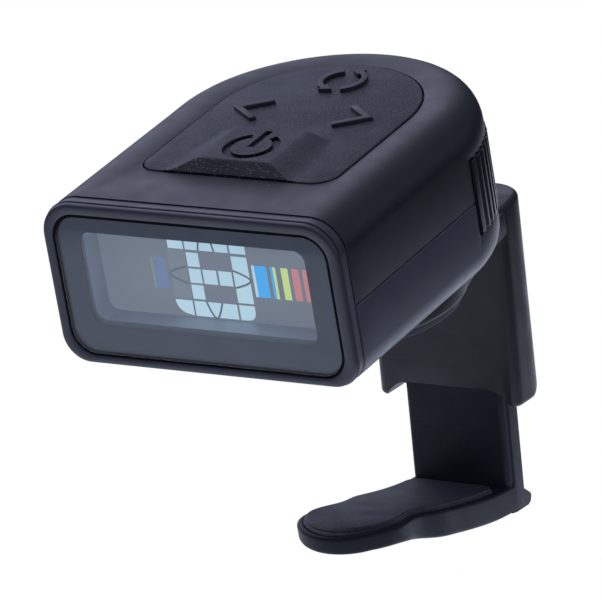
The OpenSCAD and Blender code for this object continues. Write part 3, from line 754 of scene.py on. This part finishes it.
def build_note():
    """The note name, made of cells, and the thin curves round it."""
    cells = [cell_outline(COLUMNS[1][0], COLUMNS[3][1], *ROWS[row]) for row in (0, 4)]
    cells.append(cell_outline(*COLUMNS[0], *ROWS[0]))
    cells.append(cell_outline(*COLUMNS[4], *ROWS[0], corner=0.5))
    cells.append(cell_outline(*COLUMNS[4], ROWS[3][0], ROWS[1][1]))
    for column, row in ((1, 1), (1, 2), (2, 2), (3, 2), (1, 3)):
        cells.append(cell_outline(*COLUMNS[column], *ROWS[row]))
    # the two rounded cells at the foot
    low, high = ROWS[4]
    left, right = COLUMNS[0][1], COLUMNS[4][0]
    cells.append([(left, low), (left, high), (-4.05, high)] + arc(-2.85, high, 1.22, 188, 262, 10))
    cells.append([(right, low), (2.6, low)] + arc(2.6, low + 0.78, 0.82, -60, 0, 6)
                 + [(COLUMNS[4][1], high), (right, high)])
    display_piece("display_cells", cells, LCD_PALE)
    curves = [arch((3.5, 7.2), 1.62, 1.56, True), arch((-0.36, 3.52), 1.45, 1.5, False)]
    for start, end in ((0.68, 1.0), (-1.0, -0.68)):
        curves.append(arch((-0.33, 12.0), -2.5, 1.5, False, start, end))
    curves.append(arch((-4.15, 7.2), -1.65, 1.5, True))
    display_piece("display_curves", [stroke_curve(points, 0.17) for points in curves], LCD_LINE, 0.03)


def build_bars():
    for label, (x, width, material) in BARS.items():
        levels = FAINT_LEVELS if material is LCD_FAINT else BAR_LEVELS
        display_piece("display_bar_" + label, [cell_outline(x, x + width, *levels)], material, 0.012)


build_panel()
build_note()
build_bars()

# ---- head: keypad

WEDGE_FRONT, WEDGE_BACK = keypad_low.y, 15.6
WEDGE_HALF, WEDGE_TAPER = 6.15, 0.6  # half width in front, and how much of it is lost behind
LIP_Y, CREASE_Y = 8.55, 14.75  # where the level top begins and ends
PLATEAU, PLATEAU_HALF = 0.82, 3.0
LIP_SOFT = 0.1
SYMBOL_RISE = 0.34
ARROW_X, ARROW_Y = 5.4, 19.4
ARROW_TIP, ARROW_TAIL, ARROW_SPREAD, ARROW_STROKE = 0.82, 1.65, 1.82, 0.58
FLIP_Y, FLIP_R, FLIP_STROKE = 25.95, 1.86, 0.5
FLIP_HEAD, FLIP_HEAD_BACK, FLIP_HEAD_HALF = 0.6, 0.45, 0.54
POWER_Y, POWER_OUTER_R, POWER_INNER_R = 11.2, 2.42, 1.72
POWER_DEPTH, POWER_GAP, POWER_BAR_HALF = 0.3, 27, 0.33  # the gap is degrees on each side of the bar


def build_keypad():
    shape = ((0.02, KEYPAD_FLOOR), (0.0, KEYPAD_TOP - 0.12), (0.03, KEYPAD_TOP - 0.04), (0.1, KEYPAD_TOP))
    solid = loft_bmesh([flat(keypad_outline(inset), z) for inset, z in shape])
    wedge = loft_bmesh([flat(wedge_plan(0.012), z) for z in (KEYPAD_FLOOR + 0.02, KEYPAD_TOP + 3)])
    finish_mesh("keypad", cut_bmesh(solid, [wedge]), "head", KEYPAD, ["keypad_mat"])


def wedge_half(y):
    """Half width of the power key at depth y."""
    return WEDGE_HALF - WEDGE_TAPER * smooth((y - 10) / (WEDGE_BACK - 10))


def wedge_plan(grow):
    """The power key's outline in plan. A cutter's outline is grown and also reaches out in front."""
    steps = 24
    right = []
    for i in range(steps + 1):
        y = WEDGE_FRONT + (WEDGE_BACK - WEDGE_FRONT) * i / steps
        right.append((wedge_half(y) + grow, y))
    right[0] = (right[0][0], right[0][1] - 1.0)
    right[-1] = (right[-1][0], right[-1][1] + grow)
    return right + [(-x, y) for x, y in reversed(right)]


def wedge_height(x, y):
    """Height of the power key's surface above the keypad: a level top with a slanting front, a short
    slope behind and flanks that sweep down into the keypad."""
    side = 1 - smooth((abs(x) - PLATEAU_HALF) / (wedge_half(y) - PLATEAU_HALF))
    front = (y - WEDGE_FRONT) / (LIP_Y - WEDGE_FRONT)
    back = 1 - max(0.0, (y - CREASE_Y) / (WEDGE_BACK - CREASE_Y))
    # a soft minimum rounds the lip
    rise = side * PLATEAU
    wall = 0.02 + front * PLATEAU * 1.02
    gap = max(0.0, 1 - abs(rise - wall) / LIP_SOFT)
    return max(0.0, min(rise, wall) - gap * gap * LIP_SOFT / 4) * back


def build_power_key():
    bm = bmesh.new()
    columns, rows = 110, 96
    top = []
    for j in range(rows + 1):
        y = WEDGE_FRONT + 0.03 + (WEDGE_BACK - WEDGE_FRONT - 0.03) * j / rows
        line = []
        for i in range(columns + 1):
            x = (-1 + 2 * i / columns) * wedge_half(y)
            line.append(bm.verts.new((x, y, KEYPAD_TOP + wedge_height(x, y))))
        top.append(line)
    for a, b in zip(top, top[1:]):
        for i in range(columns):
            bm.faces.new((a[i], a[i + 1], b[i + 1], b[i]))
    border = top[0] + [line[-1] for line in top[1:]] + top[-1][-2::-1] + [line[0] for line in top[-2:0:-1]]
    foot = [bm.verts.new((v.co.x, v.co.y, KEYPAD_FLOOR + 0.35)) for v in border]
    count = len(border)
    for i in range(count):
        j = (i + 1) % count
        bm.faces.new((border[i], foot[i], foot[j], border[j]))
    bm.faces.new(foot)
    solid = cut_bmesh(bm, power_mark_bmeshes())
    finish_mesh("power_button", solid, "power_button", KEY, ["power_key"], sharp=48)


def power_mark_bmeshes():
    """Cutters for the power symbol: a ring with a gap behind, and a bar."""
    start, end = 90 + POWER_GAP, 450 - POWER_GAP
    ring = arc(0, POWER_Y, POWER_OUTER_R, start, end, 60) + arc(0, POWER_Y, POWER_INNER_R, end, start, 60)
    low_y, high_y = POWER_Y - 0.15, POWER_Y + 3.0
    half = POWER_BAR_HALF
    bar = [(-half, low_y), (half, low_y), (half, high_y), (-half, high_y)]
    low = KEYPAD_TOP + PLATEAU - POWER_DEPTH
    return [loft_bmesh([flat(outline, low), flat(outline, low + 2)]) for outline in (ring, bar)]


def raised(name, key, outlines):
    """A raised symbol with a soft edge, from closed outlines in plan."""
    levels = (KEYPAD_TOP - 0.5, KEYPAD_TOP + SYMBOL_RISE)
    solids = [loft_bmesh([flat(outline, z) for z in levels]) for outline in outlines]
    solid = cut_bmesh(solids[0], [], solids[1:], bevel=0.09, segments=3, angle=35)
    finish_mesh(name, solid, key + "_button", SYMBOL, [key + "_key"], sharp=35)


def build_arrow(side):
    tip = (side * (ARROW_X + ARROW_TIP), ARROW_Y)
    upper = (side * (ARROW_X - ARROW_TAIL), ARROW_Y + ARROW_SPREAD)
    lower = (upper[0], ARROW_Y - ARROW_SPREAD)
    # one outline round both strokes, mitred at the tip
    d = Vector((upper[0] - tip[0], upper[1] - tip[1])).normalized()
    across = Vector((-d.y, d.x)) * ARROW_STROKE / 2
    if across.x * side < 0:
        across = -across
    reach = ARROW_STROKE / 2 / abs(d.y)
    outline = [
        (tip[0] + side * reach, tip[1]),
        (upper[0] + across.x, upper[1] + across.y),
        (upper[0] - across.x, upper[1] - across.y),
        (tip[0] - side * reach, tip[1]),
        (lower[0] - across.x, lower[1] + across.y),
        (lower[0] + across.x, lower[1] - across.y),
    ]
    key = "left" if side < 0 else "right"
    raised(key + "_arrow", key, [outline])


def build_flip():
    """Two half rings, each with an arrow head."""
    outlines = []
    for turn in (0, 180):
        outlines.append(arc(0, FLIP_Y, FLIP_R + FLIP_STROKE / 2, 64 + turn, -66 + turn, 40)
                        + arc(0, FLIP_Y, FLIP_R - FLIP_STROKE / 2, -66 + turn, 64 + turn, 40))
        a = math.radians(74 + turn)
        out = Vector((math.cos(a), math.sin(a)))
        along = Vector((-out.y, out.x))
        middle = Vector((0, FLIP_Y)) + out * FLIP_R
        base = middle - along * FLIP_HEAD_BACK
        side = out * FLIP_HEAD_HALF
        outlines.append([tuple(middle + along * FLIP_HEAD), tuple(base - side), tuple(base + side)])
    raised("flip_mark", "flip", outlines)


build_keypad()
build_power_key()
build_arrow(-1)
build_arrow(1)
build_flip()

# ---- head: battery drawer

RIB_STEP = 4.5  # degrees from groove to groove
RIB_DEPTH, RIB_WIDTH = 0.34, 0.17  # the width is a share of the step
DRAWER_EDGE = 0.12


def build_drawer():
    outer_r = tray_high.y - ARC_Y + 0.03
    inner_r = HALF_W - WALL + 0.2
    start = math.degrees(math.asin((SLOT_FRONT + 0.35 - ARC_Y) / outer_r))
    angles = [start + (180 - 2 * start) * i / 480 for i in range(481)]

    def ring(inset, z):
        outer = []
        for a in angles:
            phase = ((a - 90) / RIB_STEP + 0.5) % 1.0 - 0.5
            at_end = min(a - start, 180 - start - a) < 2.2
            groove = 0.0 if at_end else RIB_DEPTH * math.exp(-(phase / RIB_WIDTH) ** 2)
            outer.append((outer_r - groove - inset, a))
        points = outer + [(inner_r, a) for a in reversed(angles)]
        return [(r * math.cos(math.radians(a)), ARC_Y + r * math.sin(math.radians(a)), z) for r, a in points]

    loops = []
    for edge, towards_middle in ((tray_low.z, 1), (tray_high.z, -1)):
        soft = [ring(inset, edge + towards_middle * rise * DRAWER_EDGE)
                for inset, rise in ((DRAWER_EDGE, 0), (0.02, 0.8), (0, 1.6))]
        loops += soft[::towards_middle]
    finish_mesh("drawer_front", loft_bmesh(loops), "battery_drawer", TRAY, [], sharp=40)


build_drawer()

# ---- clamp

LEAN = math.radians(6.8)
PIVOT_Y, PIVOT_Z = 34.1, -17.4


def leaned(point):
    """A point of the upright sleeve or leg, leaned forward as on the part."""
    x, y, z = point
    dy, dz = y - PIVOT_Y, z - PIVOT_Z
    return (x, PIVOT_Y + dy * math.cos(LEAN) + dz * math.sin(LEAN),
            PIVOT_Z - dy * math.sin(LEAN) + dz * math.cos(LEAN))


def lean_bmesh(bm):
    for v in bm.verts:
        v.co = leaned(v.co)
    return bm


SLEEVE_HALF, SLEEVE_FRONT, SLEEVE_END = 6.95, 34.1, -19.0
SLEEVE_EDGE_LOW, SLEEVE_EDGE_TOP = 0.5, 0.55
CHANNEL_HALF, CHANNEL_TOP = 5.05, -3.95
PLATE_BACK, PLATE_END = 34.85, -17.55  # the thin wall in front of the leg
LEG_FRONT, LEG_BACK, LEG_TOP = 34.9, 37.3, -10.6
LATCH_HALF, LATCH_LOW, LATCH_HIGH = 3.1, -14.4, -4.8  # the opening for the latch
PIN_Y, PIN_Z, PIN_BORE_R = 38.4, -9.5, 0.53
ARM_EDGE_LOW, ARM_EDGE_TOP = 0.4, 0.12
DISC_R = disc_high.x + 0.6
# from the disc back to the sleeve the arm tapers: depth and half width
ARM_FLANK = ((27.7, 8.42), (29.5, 8.05), (31.3, 7.68), (33.2, 7.32), (34.8, 7.08), (36.4, 6.93), (37.9, 6.88))
# right half of the arch at the foot of the sleeve's front wall: x and height
WALL_ARCH = ((6.8, -25), (6.6, -19.7), (6.2, -18.95), (5.7, -18.4), (5.2, -17.98), (4.8, -17.74),
             (4.3, -17.6), (3.7, PLATE_END))


def sleeve_loop(inset, height):
    """The sleeve's outline; height(y) gives each point its level."""
    half, front = SLEEVE_HALF - inset, SLEEVE_FRONT + inset
    back = 39.6 + 0.4 * height(38.0) / SLEEVE_END - inset
    r_front, r_back = max(0.08, 0.9 - inset), 3.5 - inset
    right = between((0, front), (half - r_front, front), 10)
    right += arc(half - r_front, front + r_front, r_front, -90, 0, 8)[:-1]
    right += between((half, front + r_front), (half, back - r_back), 4)
    right += arc(half - r_back, back - r_back, r_back, 0, 90, 18)[:-1]
    right += between((half - r_back, back), (0, back), 4) + [(0, back)]
    return [(x, y, height(y)) for x, y in mirrored(right)]


def sleeve_top(y):
    return -1.45 + (y - 33.6) * 0.233 if y < 36.6 else -0.75 + (y - 36.6) * 0.034


def sleeve_bottom(y):
    return SLEEVE_END + 0.5 * max(0.0, y - 37.2)


def sleeve_bmesh():
    def between_edges(y, t):
        return (sleeve_bottom(y) + SLEEVE_EDGE_LOW) * (1 - t) + (sleeve_top(y) - SLEEVE_EDGE_TOP) * t

    loops = rounded_low(SLEEVE_EDGE_LOW, 6, lambda i, rise: sleeve_loop(i, lambda y: sleeve_bottom(y) + rise))
    loops += [sleeve_loop(0, lambda y, t=k / 6: between_edges(y, t)) for k in range(1, 6)]
    loops += rounded_top(SLEEVE_EDGE_TOP, 6, lambda i, rise: sleeve_loop(i, lambda y: sleeve_top(y) + rise))
    return lean_bmesh(ruled_bmesh(loops))


def arm_loop(inset, z):
    right = arc(0, SWIVEL_Y, DISC_R - inset, -90, 21, 60) + [(half - inset, y) for y, half in ARM_FLANK]
    return flat(mirrored(right + [(0, ARM_FLANK[-1][0])]), z)


def build_clamp_body():
    loops = rounded_low(ARM_EDGE_LOW, 5, lambda inset, rise: arm_loop(inset, ARM_BOTTOM + rise))
    loops += rounded_top(ARM_EDGE_TOP, 3, lambda inset, rise: arm_loop(inset, ARM_TOP + rise))
    left_arch = [(-x, z) for x, z in WALL_ARCH]
    opening = left_arch[:1] + list(WALL_ARCH) + left_arch[:0:-1]
    front_cut = loft_bmesh([upright(opening, y) for y in (SLEEVE_FRONT - 2, LEG_BACK)])
    channel = box_bmesh((-CHANNEL_HALF, PLATE_BACK, -25), (CHANNEL_HALF, LEG_BACK + 0.12, CHANNEL_TOP))
    window = box_bmesh((-LATCH_HALF, LEG_BACK, LATCH_LOW), (LATCH_HALF, 45, LATCH_HIGH))
    spring_slot = box_bmesh((-1.7, LEG_BACK + 0.1, -5), (1.7, LEG_BACK + 0.6, CHANNEL_TOP))
    pin_bore = bar_bmesh(circle(PIN_Y, PIN_Z, PIN_BORE_R, 24), 5.1)
    cuts = [lean_bmesh(bm) for bm in (front_cut, channel, window, spring_slot, pin_bore)]
    for r, low, high in ((3.06, -6, 0), (5.0, -6, -3.0)):
        cuts.append(disc_bmesh(0, SWIVEL_Y, r, 72, low, high))
    solid = cut_bmesh(ruled_bmesh(loops), cuts, [sleeve_bmesh()], bevel=0.14, segments=3, angle=38)
    finish_mesh("clamp_body", solid, "clamp", CLAMP, ["clamp_bracket"], sharp=42)


def build_upper_pad():
    """A rubber disc with ring grooves in its face."""
    shape = [(0.0, ARM_BOTTOM), (0.0, JAW_FACE + 0.25), (0.07, JAW_FACE + 0.08), (0.22, JAW_FACE + 0.01)]
    for k in range(6):
        start = 0.9 + 1.1 * k
        for inset, depth in ((0.0, 0.0), (0.12, 0.16), (0.34, 0.16), (0.46, 0.0)):
            shape.append((start + inset, JAW_FACE + depth))
    loops = [flat(circle(0, SWIVEL_Y, disc_high.x - inset, 144), z) for inset, z in shape]
    finish_mesh("upper_pad", loft_bmesh(loops), "clamp", RUBBER, ["upper_jaw_pad"])


FOOT_FRONT, FOOT_BACK, TOE_R = 11.9, 34.9, 4.77
WAIST_Y, WAIST_DEPTH, WAIST_REACH = 20.2, 0.54, 3.6
FOOT_HEEL_Z, FOOT_RISE, FOOT_RUN = -26.8, 5.82, 21.3
FOOT_T_TOE, FOOT_T_HEEL = 1.62, 2.48
FOOT_END = FOOT_BACK + 0.6
FOOT_EDGE_LOW, FOOT_EDGE_TOP = 0.4, 0.34
LEG_HALF, LEG_EDGE = 4.75, 0.5
RACK_TOP, RACK_TEETH, RACK_HALF = -12.2, 12, 3.2
PAD_BACK, PAD_CORNER = 33.4, 1.1
HEEL_HALF = 4.87
HEEL_PROFILE = [(33.9, -28.3), (33.6, -29.0), (34.4, -29.24), (36.35, -29.5), (36.75, -29.36), (37.0, -28.9),
                (36.92, -28.62), (36.0, -27.75), (35.5, -26.6), (34.6, -26.6)]


def ease(t):
    """A softer step from 0 to 1."""
    t = max(0.0, min(1.0, t))
    return (1 - math.cos(math.pi * t)) / 2


def foot_top(y):
    t = max(0.0, min(1.0, (FOOT_BACK - y) / FOOT_RUN))
    return FOOT_HEEL_Z + FOOT_RISE * (0.5 * t + 0.5 * ease(t))


def foot_bottom(y):
    return foot_top(y) - FOOT_T_TOE - (FOOT_T_HEEL - FOOT_T_TOE) * ease((y - 15) / 8)


def foot_half(y):
    waist = WAIST_DEPTH * (1 - ease(abs(y - WAIST_Y) / WAIST_REACH))
    return TOE_R - waist + 0.12 * ease((y - 26) / 7)


def foot_loop(flank, toe, back, level, corner=0.0):
    """The foot's outline in plan, inset by toe at its front and by flank along its sides; level(y) gives
    each point its height."""
    centre = FOOT_FRONT + TOE_R
    right = []
    for i in range(37):
        a = math.radians(-90 + 2.5 * i)
        right.append(((TOE_R - flank) * math.cos(a), centre + (TOE_R - toe) * math.sin(a)))
    right[0] = (0, right[0][1])
    stop = back - corner
    right += [(foot_half(y) - flank, y) for y in (centre + (stop - centre) * i / 40 for i in range(1, 41))]
    half = right[-1][0]
    if corner:
        right += arc(half - corner, stop, corner, 0, 90, 8)[1:]
    right += between((right[-1][0] - 0.01, back), (0, back), 6)[1:] + [(0, back)]
    return [(x, y, level(y)) for x, y in mirrored(right)]


def foot_bmesh():
    def lower(inset, rise):
        return foot_loop(inset, inset, FOOT_END, lambda y: foot_bottom(y) + rise)

    def upper(inset, rise):
        return foot_loop(inset, 0.8 * inset, FOOT_END, lambda y: foot_top(y) + rise)

    loops = rounded_low(FOOT_EDGE_LOW, 5, lower) + rounded_top(FOOT_EDGE_TOP, 6, upper)
    # a small step inside the rim, round the pad
    for flank, toe, drop in ((0.5, 0.31, 0.0), (0.56, 0.33, 0.03), (0.57, 0.34, 0.18)):
        loops.append(foot_loop(flank, toe, FOOT_END, lambda y, d=drop: foot_top(y) - d))
    return ruled_bmesh(loops)


def leg_bmesh():
    """The leg: round edges in front and thin rails along its back."""
    loops = []
    for z, inset in ((-28.2, 0), (-20, 0), (LEG_TOP - 0.3, 0), (LEG_TOP, 0.3)):
        half = LEG_HALF - inset
        right = between((0, LEG_FRONT), (half - LEG_EDGE, LEG_FRONT), 6)
        right += arc(half - LEG_EDGE, LEG_FRONT + LEG_EDGE, LEG_EDGE, -90, 0, 6)
        right += [(half, LEG_FRONT + 0.72), (half + 0.06, LEG_FRONT + 0.8), (half + 0.15, LEG_FRONT + 0.9)]
        right += [(half + 0.15, LEG_BACK - 0.12), (half + 0.05, LEG_BACK), (0, LEG_BACK)]
        loops.append(flat(mirrored(right), z))
    return lean_bmesh(ruled_bmesh(loops))


def build_lower_jaw():
    cuts = []
    for i in range(RACK_TEETH):
        z = RACK_TOP - i
        groove = [(LEG_BACK - 0.6, z), (LEG_BACK + 0.1, z + 0.56), (LEG_BACK + 0.1, z - 0.56)]
        cuts.append(lean_bmesh(bar_bmesh(groove, RACK_HALF)))
    joins = [leg_bmesh(), bar_bmesh(HEEL_PROFILE, HEEL_HALF)]
    solid = cut_bmesh(foot_bmesh(), cuts, joins, bevel=0.12, segments=3, angle=36)
    finish_mesh("jaw_body", solid, "jaw", JAW_PAINTED_LIGHTER, ["lower_jaw"], sharp=42)


def build_foot_pad():
    """The rubber pad: a low wall, a step that widens round the toe, and a soft upper edge."""
    shape = [  # inset along the flanks, inset at the toe, height over the foot
        (0.69, 0.42, -0.2), (0.66, 0.42, 0.1), (0.69, 0.47, 0.16), (0.73, 0.72, 0.19), (0.75, 0.8, 0.2),
        (0.77, 0.84, 0.3), (0.8, 1.05, 0.38), (0.86, 1.2, 0.42), (0.98, 1.36, 0.43)]
    loops = []
    for flank, toe, rise in shape:
        loops.append(foot_loop(flank, toe, PAD_BACK - flank, lambda y, r=rise: foot_top(y) + r, PAD_CORNER))
    finish_mesh("foot_pad", ruled_bmesh(loops), "jaw", RUBBER, ["lower_jaw_pad"], sharp=40)


build_clamp_body()
build_upper_pad()
build_lower_jaw()
build_foot_pad()

# ---- studio

TABLE_CENTRE = (-0.020, -0.020, 0.0)
TABLE_REACH = (0.10, 0.16)  # how far the table's glow reaches, all round
TABLE_RIGHT = (0.014, 0.082)  # where it fades out towards the right
TABLE_TONE = (0.86, 0.93, 1.12)
TABLE_DROP = 0.004  # from the part's lowest point
LIGHT_PATCHES = [
    # direction, where it starts, where it is full (as cosines), colour
    ((-0.78, 0.54, 0.30), 0.68, 1.0, (0.68, 0.70, 0.98)),  # window behind and to the left
    ((-0.3, 0.1, 0.95), 0.3, 1.0, (0.36, 0.39, 0.5)),  # soft box above
    ((0.97, 0.1, 0.0), 0.25, 1.0, (0.24, 0.27, 0.34)),  # faint light from the right
]
ROOM = (0.10, 0.112, 0.15)
LAMP_OFFSET = (-0.3, 0.1, 0.6)
LAMP_SIZE, LAMP_POWER = 0.5, 0.6
CAMERA_YAW, CAMERA_PITCH, CAMERA_ROLL = 34.23, 23.62, -9.78  # degrees
CAMERA_SHIFT_X, CAMERA_SHIFT_Y, CAMERA_DISTANCE = -7.26, -5.87, 521.99  # from the drawing's origin
CAMERA_LENS, CAMERA_SENSOR = 388.7043, 36.0


def build_floor():
    """The table glows near the part and fades out further away; the camera sees it white all over."""
    bm = bmesh.new()
    bmesh.ops.create_grid(bm, x_segments=1, y_segments=1, size=1.5)
    floor = mesh_object("floor", bm)
    floor.location.z = cad_low.z - TABLE_DROP
    n = Nodes(bpy.data.materials.new("floor_paper"))
    paper = n.mix(n.noise(30.0, 2.0), (0.985, 0.985, 0.99), (1.0, 1.0, 1.0))
    offset = n.vector_math("DISTANCE", n.coords, TABLE_CENTRE).outputs["Value"]
    across = n.vector_math("DOT_PRODUCT", n.coords, (0.9, 0.3, 0.0)).outputs["Value"]
    glow = n.math("MULTIPLY", n.fade(offset, *TABLE_REACH, 1.0, 0.05),
                  n.fade(across, *TABLE_RIGHT, 1.0, 0.06))
    camera_ray = n.camera_ray()
    shader = n.add("ShaderNodeBsdfPrincipled", {
        "Base Color": (0.02, 0.02, 0.02, 1), "Roughness": 1.0, "Specular IOR Level": 0.0,
        "Emission Color": n.mix(camera_ray, TABLE_TONE, paper),
        "Emission Strength": n.math("MAXIMUM", glow, camera_ray)})
    floor.data.materials.append(n.surface(shader))


def build_world():
    """Pure white for the camera; for light and reflections, soft patches in a dark room."""
    world = bpy.data.worlds.new("studio")
    bpy.context.scene.world = world
    n = Nodes(world, "ShaderNodeOutputWorld", "Generated")
    total = ROOM
    for axis, start, full, colour in LIGHT_PATCHES:
        facing = n.vector_math("DOT_PRODUCT", n.coords, Vector(axis).normalized()).outputs["Value"]
        total = n.vector_math("MULTIPLY_ADD", colour, n.fade(facing, start, full), total).outputs[0]
    lamp = n.add("ShaderNodeBackground", {"Color": total})
    white = n.add("ShaderNodeBackground", {"Color": (1, 1, 1, 1)})
    n.surface(n.add("ShaderNodeMixShader", {0: n.camera_ray(), 1: lamp.outputs[0], 2: white.outputs[0]}))


def build_lamp():
    """A large soft lamp above the part."""
    data = bpy.data.lights.new("soft_top", "AREA")
    data.energy = LAMP_POWER
    data.size = LAMP_SIZE
    lamp = link_object("soft_top", data)
    centre = (cad_low + cad_high) / 2
    lamp.location = centre + Vector(LAMP_OFFSET)
    lamp.rotation_euler = (centre - lamp.location).to_track_quat("-Z", "Y").to_euler()


def build_camera():
    """A long lens from the front left, above and slightly tilted."""
    yaw, pitch, roll = (math.radians(angle) for angle in (CAMERA_YAW, CAMERA_PITCH, CAMERA_ROLL))
    back = Vector((math.sin(yaw) * math.cos(pitch), -math.cos(yaw) * math.cos(pitch), math.sin(pitch)))
    right = Vector((math.cos(yaw), math.sin(yaw), 0))
    up = back.cross(right)
    turned_right = right * math.cos(roll) + up * math.sin(roll)
    turned_up = -right * math.sin(roll) + up * math.cos(roll)
    point = -CAMERA_SHIFT_X * turned_right - CAMERA_SHIFT_Y * turned_up + CAMERA_DISTANCE * back
    data = bpy.data.cameras.new("camera")
    data.sensor_width = CAMERA_SENSOR
    data.lens = CAMERA_LENS
    data.clip_start, data.clip_end = 0.01, 10.0
    camera = link_object("camera", data)
    rotation = Matrix((turned_right, turned_up, back)).transposed()
    camera.matrix_world = Matrix.Translation(place(point)) @ rotation.to_4x4()
    bpy.context.scene.camera = camera


build_floor()
build_world()
build_camera()
build_lamp()

bpy.context.scene.view_settings.view_transform = "Standard"
